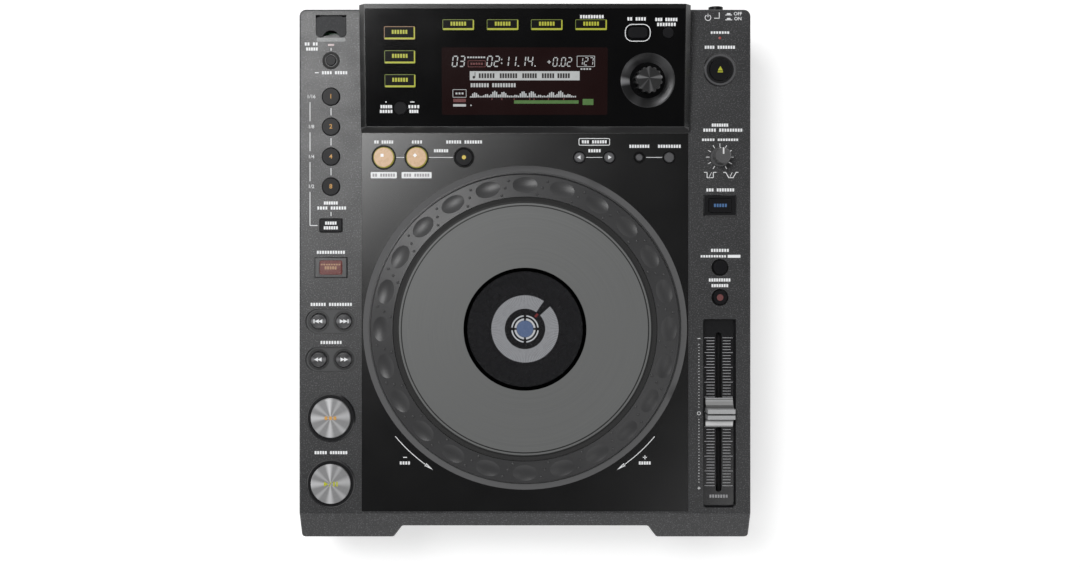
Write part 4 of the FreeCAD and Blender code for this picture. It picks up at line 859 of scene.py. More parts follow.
@dataclass
class Turning:
    """Piece of the case turned from a profile about an axis square to a panel.

    Attributes:
        name: the piece's name.
        finish: its finish.
        x, y: place of its axis on the panel.
        profile: (radius, height) of its corners from the outside in.
        panel: face that it stands on.
        slot: the record's material slot, where it isn't the finish's own; not used.
        closed: whether the profile closes on itself, as for a ring.
        parts: faces round the axis.
    """

    name: str
    finish: Finish
    x: float
    y: float
    profile: list[tuple[float, float]]
    panel: Panel = Panel.DECK
    slot: str = ""
    closed: bool = True
    parts: int = 48

    def build(self) -> None:
        """Turns the piece and settles it."""
        corners = self.profile + self.profile[:1] if self.closed else self.profile
        only()
        bpy.ops.mesh.primitive_circle_add(vertices=self.parts, radius=corners[0][0], fill_type="NOTHING",
                                          location=(0, 0, corners[0][1]))
        freeze_places()
        with editing("EDGE") as piece:
            for (radius, height), (next_radius, next_height) in zip(corners, corners[1:]):
                bpy.ops.mesh.extrude_region_move(TRANSFORM_OT_translate={"value": (0, 0, next_height - height)})
                stretch_all(next_radius / radius, next_radius / radius)
            if self.closed:
                bpy.ops.mesh.select_all(action="SELECT")
                bpy.ops.mesh.remove_doubles(threshold=0.001)
            else:
                bpy.ops.mesh.edge_face_add()
                bpy.ops.mesh.select_all(action="DESELECT")
                bpy.ops.mesh.select_non_manifold()
                bpy.ops.mesh.edge_face_add()
            bpy.ops.mesh.select_all(action="SELECT")
            bpy.ops.mesh.normals_make_consistent(inside=False)
        bpy.ops.object.shade_smooth_by_angle(angle=radians(30))
        place = Matrix.Translation((self.x, self.panel.along(self.y), 0))
        piece.data.transform(self.panel.matrix(0.0) @ place)
        finish_piece(self.name, "case", self.finish)


WHITE_INK = Ink("white_ink", (0.80, 0.81, 0.82))
GREY_INK = Ink("grey_ink", (0.30, 0.30, 0.31))
LIME_LAMP = Lit("lime_lamp", (0.56, 0.58, 0.03))
AMBER_LAMP = Lit("amber_lamp", (0.80, 0.42, 0.10))
WHITE_LAMP = Lit("white_lamp", (0.60, 0.62, 0.62))
RED_LAMP = Lit("red_lamp", (0.42, 0.05, 0.04))
BLUE_LAMP = Lit("blue_lamp", (0.07, 0.18, 0.40))
GREEN_LAMP = Lit("green_lamp", (0.08, 0.20, 0.04))
BLACK_RING = Lacquer("ring_black", (0.004, 0.004, 0.004), 0.3, 0.05, 0.1)
BUTTON_BLACK = Lacquer("button_gloss", (0.007, 0.007, 0.008), 0.28, 0.1, 0.14)
BUTTON_GREY = Spun("button_grey", (0.12, 0.12, 0.125), metallic=0.5, roughness=0.35, pitch=3.0, depth=0.002)
PLATED_STEEL = SheetSteel("plated_steel", (0.5, 0.51, 0.52))


@dataclass
class Studio:
    """Camera, floor, lamps and world.

    Attributes:
        eye: height of the camera above the table.
        eye_along: place of the camera behind the jog wheel's axis.
        lens: focal length on a 36 mm sensor.
        shift: shift of the picture, as a share of its width.
        floor_side: side of the floor in metres.
        floor_tone: tone of the floor.
        floor_lift: light that the floor adds where it is seen.
        world_light: brightness of the surroundings as light.
        horizon: brightness of the surroundings that gloss faces mirror at the side.
        ceiling: brightness of the dark ceiling that they mirror above.
        ceiling_start, ceiling_gain: how high the ceiling starts, and how fast it takes over.
        key_place: place of the soft lamp in metres.
        key_size: side of the soft lamps in metres.
        key_power: power of the soft lamp in watts.
        fill_place: place of the weak lamp on the other side.
        fill_power: its power.
    """

    eye: float = 880.0
    eye_along: float = 45.0
    lens: float = 39.48
    shift: tuple[float, float] = (0.0139, -0.0208)
    floor_side: float = 12.0
    floor_tone: float = 0.82
    floor_lift: float = 0.36
    world_light: float = 0.62
    horizon: float = 0.9
    ceiling: float = 0.04
    ceiling_start: float = 0.35
    ceiling_gain: float = 2.4
    key_place: tuple[float, float, float] = (-0.50, 0.46, 1.60)
    key_size: float = 0.60
    key_power: float = 12.5
    fill_place: tuple[float, float, float] = (0.70, -0.56, 1.60)
    fill_power: float = 1.8

    def camera(self) -> None:
        """Looks straight down, with the rear of the player at the top."""
        data = bpy.data.cameras.new("overhead")
        data.lens = self.lens
        data.sensor_width = 36.0
        data.shift_x, data.shift_y = self.shift
        camera = bpy.data.objects.new("overhead", data)
        camera.location = (0.0, (self.eye_along + AXIS_SHIFT) * MM, self.eye * MM)
        bpy.context.scene.collection.objects.link(camera)
        bpy.context.scene.camera = camera

    def lamp(self, name: str, place: tuple[float, float, float], power: float) -> None:
        """Hangs a square soft lamp that faces the player.

        Args:
            name: the lamp's name.
            place: where it hangs, in metres.
            power: its power in watts.
        """
        data = bpy.data.lights.new(name, "AREA")
        data.size = self.key_size
        data.energy = power
        lamp = bpy.data.objects.new(name, data)
        lamp.location = place
        lamp.rotation_euler = (-Vector(place)).to_track_quat("-Z", "Y").to_euler()
        bpy.context.scene.collection.objects.link(lamp)

    def floor(self) -> None:
        """Pale floor that renders white away from the player's shadow."""
        only()
        bpy.ops.mesh.primitive_plane_add(size=1)
        with editing() as floor:
            stretch_all(self.floor_side, self.floor_side)
            bpy.ops.mesh.subdivide(number_cuts=3)
        floor.name = "floor"
        material = bpy.data.materials.new("pale_floor")
        material.use_nodes = True
        graph = Graph(material.node_tree)
        ray = graph.node("ShaderNodeLightPath").outputs
        seen = graph.maths("MAXIMUM", Wire(graph, ray["Is Camera Ray"]), Wire(graph, ray["Is Glossy Ray"]))
        seen = graph.maths("MAXIMUM", seen, Wire(graph, ray["Is Transmission Ray"]))
        lift = graph.mix(seen, (0.0, 0.0, 0.0), (self.floor_lift,) * 3)
        graph.surface({"Base Color": (self.floor_tone,) * 3, "Roughness": 0.7, "Emission Color": lift,
                       "Emission Strength": 1.0})
        floor.data.materials.append(material)

    def world(self) -> None:
        """Even surroundings, white where the camera or a clear piece sees them."""
        world = bpy.data.worlds.new("studio")
        bpy.context.scene.world = world
        world.use_nodes = True
        graph = Graph(world.node_tree)
        ray = graph.node("ShaderNodeLightPath").outputs
        seen = graph.maths("MAXIMUM", Wire(graph, ray["Is Camera Ray"]), Wire(graph, ray["Is Transmission Ray"]))
        direction = Wire(graph, graph.node("ShaderNodeTexCoord").outputs["Generated"])
        height = Wire(graph, graph.node("ShaderNodeSeparateXYZ", None, {0: direction}).outputs[2])
        overhead = graph.maths("MULTIPLY", height - self.ceiling_start, self.ceiling_gain, clamp=True)
        mirrored = graph.mix(overhead, (self.horizon,) * 3, (self.ceiling,) * 3)
        lit = graph.mix(Wire(graph, ray["Is Glossy Ray"]), (self.world_light,) * 3, mirrored)
        sky = graph.node("ShaderNodeBackground", None, {"Color": graph.mix(seen, lit, (1.0, 1.0, 1.0))})
        graph.node("ShaderNodeOutputWorld", None, {"Surface": Wire(graph, sky.outputs[0])})

    def build(self) -> None:
        """Sets up the whole studio."""
        bpy.context.scene.view_settings.view_transform = "Standard"
        self.camera()
        self.floor()
        self.world()
        self.lamp("key", self.key_place, self.key_power)
        self.lamp("fill", self.fill_place, self.fill_power)


@dataclass
class CaseWork:
    """Matte case, tray, sockets and the parts inside.

    Attributes:
        charcoal: colour of the case.
        fleck: colour of its flecks.
        black: colour of the sunk black places.
        rim: colour of the eject button's ring.
        pill: colour of the bezels round the button pairs.
        socket_row: height of the rear sockets above the table.
        phonos: place across and mouth's colour of each phono socket.
        jack: place across of the control jack.
    """

    charcoal: Colour = (0.013, 0.0133, 0.0145)
    fleck: Colour = (0.085, 0.086, 0.092)
    black: Colour = (0.008, 0.008, 0.009)
    rim: Colour = (0.10, 0.10, 0.105)
    pill: Colour = (0.034, 0.035, 0.037)
    socket_row: float = 44.0
    phonos: tuple[tuple[str, float, Colour], ...] = (
        ("right", 84.0, (0.45, 0.02, 0.02)), ("left", 64.0, (0.7, 0.7, 0.68)), ("digital", 44.0, (0.70, 0.22, 0.02)))
    jack: float = 106.0

    def patches(self) -> tuple[Patch, ...]:
        """Lists the black and silver places moulded into the case.

        Returns:
            The patches, the later ones over the earlier ones.
        """
        left, right, black = LEFT_COLUMN, RIGHT_COLUMN, self.black
        found = [Patch(left, row, 33.1, 0, black, 0.22) for row in PAD_ROWS.values()]
        found += [Patch(right, EJECT_ROW, 22.8, 0, black, 0.25), Patch(right, EJECT_ROW, 20.8, 0, self.rim, 0.3, 0.3),
                  Patch(right, EJECT_ROW, 18.4, 0, black, 0.3), Patch(left, STOP_ROW, 11.2, 0, black, 0.3),
                  Patch(left, DIRECTION_ROW, 22.4, 14.3, black, 0.2),
                  Patch(left, DIRECTION_ROW, 20.6, 12.5, (0.03, 0.03, 0.032), 0.3),
                  Patch(right, MODE_ROW, 22.4, 14.3, black, 0.2)]
        for row in PAIR_ROWS.values():
            found += [Patch(left, row, 34.8, 16.8, black, 0.4, round_ends=True),
                      Patch(left, row, 33.6, 15.6, self.pill, 0.5, round_ends=True)]
            found += [Patch(left + side * PAIR_REACH, row, 14.4, 0, black, 0.3) for side in WAYS.values()]
        return (*found, Patch(FADER_COLUMN, FADER_MIDDLE, 22.2, 127.4, (0.009, 0.009, 0.010), 0.18))

    def rear_trim(self) -> None:
        """Plated sleeves and coloured mouths of the phono sockets, and the nut of the control jack."""
        plate = SheetSteel("nickel_plate", (0.62, 0.61, 0.58), 0.25)
        for name, x, colour in self.phonos:
            Turning(f"phono_sleeve_{name}", plate, x, self.socket_row,
                    [(4.55, 0.0), (4.55, 0.8), (4.32, 1.0), (4.32, 8.3), (4.16, 8.4), (4.16, 0.0)], Panel.REAR).build()
            Turning(f"phono_mouth_{name}", Ink(f"mouth_{name}", colour, 0.35), x, self.socket_row,
                    [(3.9, 8.45), (3.7, 8.6), (2.0, 8.6), (1.75, 8.45)], Panel.REAR, "socket_black").build()
        Turning("jack_nut", plate, self.jack, self.socket_row,
                [(5.2, 0.0), (5.2, 1.5), (4.9, 1.8), (4.2, 1.8), (4.2, 0.0)], Panel.REAR, parts=6).build()

    def build(self) -> None:
        """Dresses the case and all that it holds."""
        dress_nodes("top_case", Moulding("charcoal_moulding", self.charcoal, self.fleck, 0.42, 0.8, shine=0.8,
                                         patches=self.patches()))
        dress_nodes("usb_door", Moulding("door_moulding", (0.04, 0.041, 0.043), (0.07, 0.07, 0.075), shine=0.12))
        dress_nodes("chassis", SheetSteel("tray_paint", (0.035, 0.035, 0.037), 0.5, 0.2))
        dress_nodes("feet loading_roller", Moulding("soft_rubber", (0.018, 0.018, 0.018), (0.03, 0.03, 0.03), 0.85))
        dress_nodes("screws drive_frame optical_pickup display_module", PLATED_STEEL)
        dress_nodes("main_board key_board", Board("green_board"))
        self.rear_trim()
        dress_nodes("rear_sockets fader_track jog_hub turntable",
                    Moulding("socket_plastic", (0.014, 0.014, 0.015), (0.03, 0.03, 0.03), 0.4))


@dataclass
class LeftWing:
    """Marks, lamps and buttons of the left wing.

    Attributes:
        fractions: parts of a beat printed beside the beat buttons.
        bracket: place across of the bracket line.
        bracket_foot: row where the bracket ends.
        highlight_fans: painted highlights of the two spun pads, wedges round their axes.
        labels: rows of dashes in place of the labels.
    """

    fractions: tuple[str, ...] = ("1/16", "1/8", "1/4", "1/2")
    bracket: float = -145.2
    bracket_foot: float = 69.0
    highlight_fans: tuple[tuple[float, float, float], ...] = (
        (180, 20, 2.3), (140, 14, 1.7), (95, 16, 2.6), (60, 12, 1.6), (8, 24, 1.9), (-45, 14, 1.7), (-92, 18, 2.3),
        (-135, 12, 1.7))
    labels: tuple[Label, ...] = (
        (-137.4, -119.8, 172.2, 4), (-149.0, -139.8, 191.6, 2), (-148.0, -139.8, 188.2, 0), (-136.0, -126.3, 84.2, 0),
        (-140.5, -120.6, 80.8, 4), (-140.8, -121.4, 50.9, 0), (-145.0, -116.7, 15.7, 6), (-138.4, -123.6, -10.0, 0),
        (-142.3, -119.8, -84.4, 5))

    def printed(self) -> None:
        """White print: the bracket with its fractions, the links between the buttons and the labels' dashes."""
        rows = list(BEAT_ROWS.values())
        with Stencil("left_wing_print", WHITE_INK) as ink:
            for row, fraction in zip(rows, self.fractions):
                ink.figures(self.bracket + 0.8, row, fraction, 3.3)
            for upper, lower in zip(rows, rows[1:]):
                ink.bar(LEFT_COLUMN, (upper + lower) / 2, 0.5, 5.0)
                ink.bar(self.bracket, (upper + lower) / 2, 0.5, 12.8)
            ink.bar(self.bracket, self.bracket_foot + 11.3, 0.5, 22.8)
            ink.bar(self.bracket + 2.5, self.bracket_foot, 5.2, 0.5)
            ink.bar(LEFT_COLUMN, self.bracket_foot + 7.7, 0.5, 2.7)
            ink.bar(LEFT_COLUMN, STOP_ROW + 7.6, 0.5, 1.8)
            ink.bar(LEFT_COLUMN - 9.6, STOP_ROW - 8.2, 2.6, 0.6)
            ink.labels(self.labels)

    def lamps(self) -> None:
        """Ring round the stop button, the port's lamp, a painted highlight on the edge of its recess, and the numbers
        on the beat buttons.
        """
        Turning("port_stop_ring", BLACK_RING, LEFT_COLUMN, STOP_ROW,
                [(5.9, 0.0), (5.7, 0.25), (4.1, 0.25), (4.0, 0.0)]).build()
        with Stencil("port_lamp", Lit("port_red", (0.14, 0.02, 0.02)), thickness=0.25) as lamp:
            lamp.bar(LEFT_COLUMN, STOP_ROW + 10.5, 4.2, 1.4, corner=0.3)
        for number, row in BEAT_ROWS.items():
            with Stencil(f"beat_number_{number}", AMBER_LAMP, f"beat_button_{number}", 1.0) as digit:
                digit.figures(LEFT_COLUMN, row, number, 4.2)
        # Pale strip that paints the highlight on the lit bevel at the front of the port's recess.
        edge = Moulding("bevel_highlight", (0.20, 0.21, 0.21), (0.3, 0.3, 0.3), 0.4)
        with Stencil("port_recess_highlight", edge, thickness=0.12) as strip:
            strip.bar(LEFT_COLUMN, STOP_ROW + 14.1, 19.4, 2.6, corner=0.9)

    def arrows(self) -> None:
        """White arrows on the track and search buttons."""
        for kind, row in PAIR_ROWS.items():
            shift = 0.5 if kind == "track" else 0.0
            for way, side in WAYS.items():
                x = LEFT_COLUMN + side * PAIR_REACH
                with Stencil(f"{kind}_{way}_arrows", WHITE_INK, f"{kind}_{way}_button") as arrows:
                    for place in (-1.2 - shift, 1.2 - shift):
                        arrows.disc(x + side * place, row, 1.6, 3, -90.0 * side, 1.15)
                    if kind == "track":
                        arrows.bar(x + side * 3.0, row, 0.7, 2.7)

    def pad_marks(self) -> None:
        """Lit marks of the two pads."""
        with Stencil("play_mark", LIME_LAMP, "play_button", 2.6) as play:
            row = PAD_ROWS["play"]
            play.disc(LEFT_COLUMN - 3.4, row, 2.0, 3, -90)
            play.bar(LEFT_COLUMN - 0.2, row, 0.5, 3.6, -25)
            play.bar(LEFT_COLUMN + 2.4, row, 1.1, 3.2)
            play.bar(LEFT_COLUMN + 4.4, row, 1.1, 3.2)
        with Stencil("cue_mark", AMBER_LAMP, "cue_button", 2.6) as cue:
            for step in (-1, 0, 1):
                cue.bar(LEFT_COLUMN + step * 3.0, PAD_ROWS["cue"], 2.0, 2.4, corner=0.5)

    def square_marks(self) -> None:
        """Dashes on the two square buttons."""
        with Stencil("beat_select_dashes", WHITE_INK, "beat_select_button", 1.0) as select:
            select.dashes(LEFT_COLUMN - 4.0, LEFT_COLUMN + 4.0, self.bracket_foot + 1.6)
            select.dashes(LEFT_COLUMN - 4.9, LEFT_COLUMN + 4.9, self.bracket_foot - 1.6)
        with Stencil("direction_dashes", Lit("reverse_mark", (0.50, 0.30, 0.16)), "direction_button", 1.9) as reverse:
            reverse.dashes(LEFT_COLUMN - 6.8, LEFT_COLUMN + 6.8, DIRECTION_ROW + 2.0, 0.9)
            reverse.dashes(LEFT_COLUMN - 4.2, LEFT_COLUMN + 4.2, DIRECTION_ROW - 0.2)

    def build(self) -> None:
        """Dresses the wing's buttons and adds its marks."""
        dress_nodes("usb_stop_button beat_button_1 beat_button_2 beat_button_4 beat_button_8 beat_select_button",
                    BUTTON_BLACK)
        dress_nodes("direction_button", Lit("reverse_key", (0.13, 0.035, 0.03), (0.03, 0.012, 0.012), 0.9))
        # The track and search buttons carry painted highlights to their left and right.
        for kind, row in PAIR_ROWS.items():
            for way, side in WAYS.items():
                dress_nodes(f"{kind}_{way}_button", Spun(f"spun_{kind}_{way}", (0.05, 0.05, 0.052),
                                                         LEFT_COLUMN + side * PAIR_REACH, row, metallic=0.4,
                                                         highlight_fans=((180, 32, 4.0), (0, 32, 4.0))))
        # The pads carry painted highlights, wedges round their axes.
        for kind, row in PAD_ROWS.items():
            dress_nodes(f"{kind}_button", Spun(f"spun_{kind}", (0.28, 0.28, 0.285), LEFT_COLUMN, row, metallic=0.3,
                                               depth=0.01, highlight_fans=self.highlight_fans))
        self.printed()
        self.lamps()
        self.arrows()
        self.pad_marks()
        self.square_marks()


@dataclass
class RightWing:
    """Marks, lamps, knob and fader of the right wing.

    Attributes:
        power_sign: place of the power sign.
        states: row and word of the power switch's two states.
        state_column: place across of their diagrams.
        knob_reach: radius of the knob's scale, up to the middle of its ticks.
        curve_row: row of the two curves under the knob.
        dots: place across of the fader's row of dots.
        first_dot, dot_pitch: row of the first dot, and their spacing.
        first_tick, tick_pitch: row of the fader's first tick, and their spacing.
        cap_shading: (row, depth, tone) of the stripes across the fader's cap, which paint the light and shade of its
            ridges and the dark line on its crest.
        labels, small_labels: rows of dashes in place of the labels.
    """

    power_sign: tuple[float, float] = (123.6, 209.4)
    states: tuple[tuple[float, str], ...] = ((211.9, "OFF"), (208.6, "ON"))
    state_column: float = 137.6
    knob_reach: float = 8.1
    curve_row: float = 103.1
    dots: float = 117.5
    first_dot: float = -7.3
    dot_pitch: float = 2.022
    first_tick: float = -7.1
    tick_pitch: float = 2.008
    cap_shading: tuple[tuple[float, float, float], ...] = (
        (-48.6, 0.8, 0.16), (-51.0, 2.2, 0.26), (-53.2, 2.0, 0.10), (-57.8, 1.0, 0.008), (-62.2, 1.6, 0.10),
        (-65.0, 2.2, 0.62), (-67.2, 0.8, 0.10))
    labels: tuple[Label, ...] = (
        (121.2, 142.0, 189.4, 4), (126.0, 137.4, 136.8, 0), (120.2, 147.0, 133.4, 5), (122.3, 141.5, 93.0, 3),
        (125.4, 137.9, 52.2, 0), (124.0, 138.9, 32.2, 0), (125.8, 137.4, 28.4, 0))
    small_labels: tuple[Label, ...] = ((125.2, 138.2, 199.3, 0), (119.3, 144.2, 126.9, 5), (118.4, 136.0, 48.2, 0))

    def switch_diagram(self, ink: Stencil) -> None:
        """Power sign and the switch's two states.

        Args:
            ink: stencil of the white print.
        """
        x, row = self.power_sign
        ink.ring(x, row, 1.7, 2.15, 120, 300, 60)
        ink.bar(x, row + 1.5, 0.45, 2.4)
        ink.bar(x + 6.0, row - 0.4, 3.6, 0.5)
        ink.bar(x + 7.6, row + 1.5, 0.5, 4.2)
        for row, text in self.states:
            ink.figures(self.state_column + 6.2, row, text, 3.2)
            ink.bar(self.state_column, row - 0.7, 4.6, 0.5)
            ink.bar(self.state_column, row, 2.4, 1.2)

    def knob_scale(self, ink: Stencil) -> None:
        """Eleven ticks round the small knob, and the curves under it.

        Args:
            ink: stencil of the white print.
        """
        for step in range(11):
            angle = 240 - 30 * step
            ink.bar(RIGHT_COLUMN + self.knob_reach * cos(radians(angle)),
                    KNOB_ROW + self.knob_reach * sin(radians(angle)), 2.3, 0.45, angle)
        for x, lean in ((123.0, 0.0), (127.2, 0.0), (136.6, 30.0), (141.6, -30.0)):
            ink.bar(x, self.curve_row, 0.5, 3.8, lean)
        upper, lower = self.curve_row + 1.8, self.curve_row - 1.8
        for x, row in ((121.9, upper), (124.0, lower), (126.2, lower), (128.3, upper), (134.9, upper), (138.2, lower),
                       (140.1, lower), (143.2, upper)):
            ink.bar(x, row, 1.9, 0.5)
        for x in (125.1, 139.1):
            ink.bar(x, self.curve_row, 0.35, 4.2, -25)

    def printed(self) -> None:
        """White print: switch diagram, the knob's scale, labels and the fader's row of dots."""
        with Stencil("right_wing_print", WHITE_INK) as ink:
            self.switch_diagram(ink)
            ink.labels(self.labels)
            ink.labels(self.small_labels, 1.6)
            ink.bar(141.2, 48.2, 8.6, 2.0)
            self.knob_scale(ink)
            last_dot = self.first_dot - 50 * self.dot_pitch
            ink.ring(self.dots, self.first_dot - 25 * self.dot_pitch, 0.9, 1.25)
            ink.bar(self.dots, self.first_dot, 1.9, 0.4)
            ink.bar(self.dots, last_dot, 1.9, 0.4)
            ink.bar(self.dots, last_dot, 0.4, 1.9)
            for step in (*range(2, 24), *range(27, 49)):
                ink.disc(self.dots, self.first_dot - step * self.dot_pitch, 0.3, 8)

    def scale(self) -> None:
        """Ticks on both sides of the fader's slot."""
        with Stencil("fader_scale", GREY_INK, height=-4.0) as ticks:
            for step in range(51):
                row = self.first_tick - step * self.tick_pitch
                near, far = (2.6, 9.6) if step % 5 == 0 else (2.8, 8.2)
                for side in WAYS.values():
                    ticks.bar(FADER_COLUMN + side * (near + far) / 2, row, far - near, 0.45)
            ticks.dashes(FADER_COLUMN - 6.4, FADER_COLUMN + 6.4, -114.6)

    def lamps(self) -> None:
        """Standby lamp, eject mark, jog mode mark and the red middle of the tempo button."""
        Turning("standby_lamp", RED_LAMP, RIGHT_COLUMN, EJECT_ROW + 21.6, [(0.9, 0.0), (0.8, 0.2), (0.4, 0.3)],
                closed=False, parts=24).build()
        with Stencil("eject_mark", LIME_LAMP, "eject_button", 1.8) as eject:
            eject.disc(RIGHT_COLUMN, EJECT_ROW + 0.3, 2.0, 3)
            eject.bar(RIGHT_COLUMN, EJECT_ROW - 1.6, 3.5, 0.7)
        with Stencil("jog_mode_mark", BLUE_LAMP, "jog_mode_button", 1.9) as mode:
            mode.dashes(RIGHT_COLUMN - 4.6, RIGHT_COLUMN + 4.6, MODE_ROW, 2.2)
        with Stencil("tempo_mark", Lit("tempo_red", (0.17, 0.045, 0.045)), "master_tempo_button", 1.0) as tempo:
            tempo.disc(RIGHT_COLUMN, TEMPO_ROWS["master"], 2.2)

    def build(self) -> None:
        """Dresses the wing's controls and adds its marks."""
        dress_nodes("eject_button jog_mode_button tempo_range_button master_tempo_button power_button", BUTTON_BLACK)
        with Stencil("tempo_button_rings", BLACK_RING, thickness=0.15) as rings:
            for row in TEMPO_ROWS.values():
                rings.ring(RIGHT_COLUMN, row, 5.02, 5.7)
        line = Patch(RIGHT_COLUMN, KNOB_ROW + 3.7, 1.0, 5.6, (0.7, 0.7, 0.7), 0.4)
        dress_nodes("adjust_knob",
                    Moulding("knob_satin", (0.07, 0.07, 0.072), (0.09, 0.09, 0.09), 0.4, patches=(line,)))
        # Stripes of painted light and shade across the fader's cap, in place of the light on its ridged profile.
        shading_bands = tuple(Patch(FADER_COLUMN, row, 30.0, depth, (tone,) * 3, 0.4) for row, depth, tone in self.cap_shading)
        dress_nodes("fader_cap", Moulding("fader_silver", (0.34, 0.345, 0.35), (0.4, 0.4, 0.41), 0.32, patches=shading_bands))
        self.printed()
        self.scale()
        self.lamps()


@dataclass
class Deck:
    """Gloss deck with its row of buttons and the arrows round the jog wheel.

    Attributes:
        row: row of the buttons.
        loop_in, loop_out, reloop, call_back, call_forward, delete, memory: places of the buttons across.
        boxes: row of the two white boxes under the loop buttons.
        arrow_reach: radius of the direction arrows.
        signs: row of the plus and minus beside them.
        labels: rows of dashes in place of the labels.
    """

    row: float = 115.0
    loop_in: float = -95.4
    loop_out: float = -73.2
    reloop: float = -41.2
    call_back: float = 36.7
    call_forward: float = 56.9
    delete: float = 77.1
    memory: float = 97.3
    boxes: float = 103.0
    arrow_reach: float = 114.3
    signs: float = -87.6
    labels: tuple[Label, ...] = (
        (-102.0, -88.8, 125.4, 2), (-76.7, -69.3, 125.4, 0), (-61.7, -51.7, 119.5, 0), (-53.4, -28.8, 125.4, 6),
        (38.2, 55.4, 125.5, 3), (42.6, 51.3, 119.5, 0), (70.3, 84.2, 122.5, 0), (89.6, 105.4, 122.5, 0),
        (-84.8, -77.4, -91.4, 0), (76.7, 85.1, -91.4, 0))

    def printed(self) -> None:
        """White print: links, boxes, direction arrows and the signs at their ends."""
        with Stencil("deck_print", WHITE_INK) as ink:
            for left, right in ((-87.2, -81.4), (-65.0, -48.6), (41.4, 52.2), (81.8, 92.6)):
                ink.bar((left + right) / 2, self.row, right - left, 0.35)
            ink.bar(self.loop_in, self.boxes, 17.6, 4.2, corner=0.5)
            ink.bar(self.loop_out, self.boxes, 20.2, 4.2, corner=0.5)
            ink.bar((self.call_back + self.call_forward) / 2, self.row + 10.5, 21.2, 5.0, corner=1.0, band=0.5)
            ink.labels(self.labels)
            for side, start, tip, turn in ((-1, -140.0, -125.0, 0.0), (1, -55.0, -55.0, 180.0)):
                ink.ring(0, 0, self.arrow_reach - 0.25, self.arrow_reach + 0.25, start, 15.0, 360)
                ink.disc(self.arrow_reach * cos(radians(tip)), self.arrow_reach * sin(radians(tip)), 1.3, 3,
                         tip + turn, 3.2)
                ink.bar(side * 81, self.signs, 2.6, 0.6)
            ink.bar(81, self.signs, 0.6, 2.6)
        with Stencil("deck_box_dashes", GREY_INK, height=0.06, thickness=0.03) as faint:
            faint.labels(((-103.2, -87.6, self.boxes, 2), (-82.0, -64.4, self.boxes, 3)))

    def button_marks(self) -> None:
        """Rings round the buttons, the marks on them and a painted glint on each loop lens."""
        for name, x, turn in (("loop_in", self.loop_in, 0), ("loop_out", self.loop_out, 45)):
            lens = Lit(f"{name}_lens", (0.62, 0.40, 0.23), (0.1, 0.07, 0.04), 0.85, x, self.row, 6.5,
                       (0.26, 0.25, 0.02))
            dress_nodes(f"{name}_button", lens)
            # Painted glint: a small glowing white square on each loop lens, in place of the lamp's reflection.
            painted_glint = Lit("painted_glint", (0.95, 0.95, 0.95), strength=1.0)
            with Stencil(f"{name}_mark", painted_glint, f"{name}_button", 1.2) as glint:
                glint.bar(x - 1.0, self.row + 1.3, 2.0, 2.0, turn)
        with Stencil("deck_button_rings", BLACK_RING, thickness=0.25) as rings:
            for x, inner, outer in ((self.loop_in, 7.25, 8.3), (self.loop_out, 7.25, 8.3), (self.reloop, 6.15, 7.0),
                                    (self.call_back, 3.75, 4.3), (self.call_forward, 3.75, 4.3),
                                    (self.delete, 2.65, 4.0), (self.memory, 3.65, 4.3)):
                rings.ring(x, self.row, inner, outer)
        with Stencil("reloop_mark", Lit("yellow_lamp", (0.8, 0.6, 0.08)), "reloop_button", 1.0) as dot:
            dot.disc(self.reloop, self.row, 1.4)
        for way, x in (("back", self.call_back), ("forward", self.call_forward)):
            with Stencil(f"call_{way}_arrow", WHITE_INK, f"call_{way}_button", 0.8) as arrow:
                arrow.disc(x, self.row, 1.6, 3, -90.0 * WAYS[way])

    def build(self) -> None:
        """Dresses the deck and its buttons and adds their rings and marks."""
        bezel = Patch(0, 0, 218.8, 0, (0.09, 0.09, 0.092), 0.24, 0.4, inner=208.0)
        # The paler strip along the hood's front edge is a painted reflection on its bevel.
        edge = Patch(0, 133.0, 230.0, 3.6, (0.045, 0.045, 0.046), 0.35)
        dress_nodes("centre_panel", Lacquer("gloss_deck", (0.002, 0.002, 0.0022), 0.23, 0.05, 0.7, (bezel, edge)))
        dress_nodes("call_back_button call_forward_button delete_button memory_button", BUTTON_GREY)
        dress_nodes("reloop_button", BUTTON_BLACK)
        self.button_marks()
        self.printed()


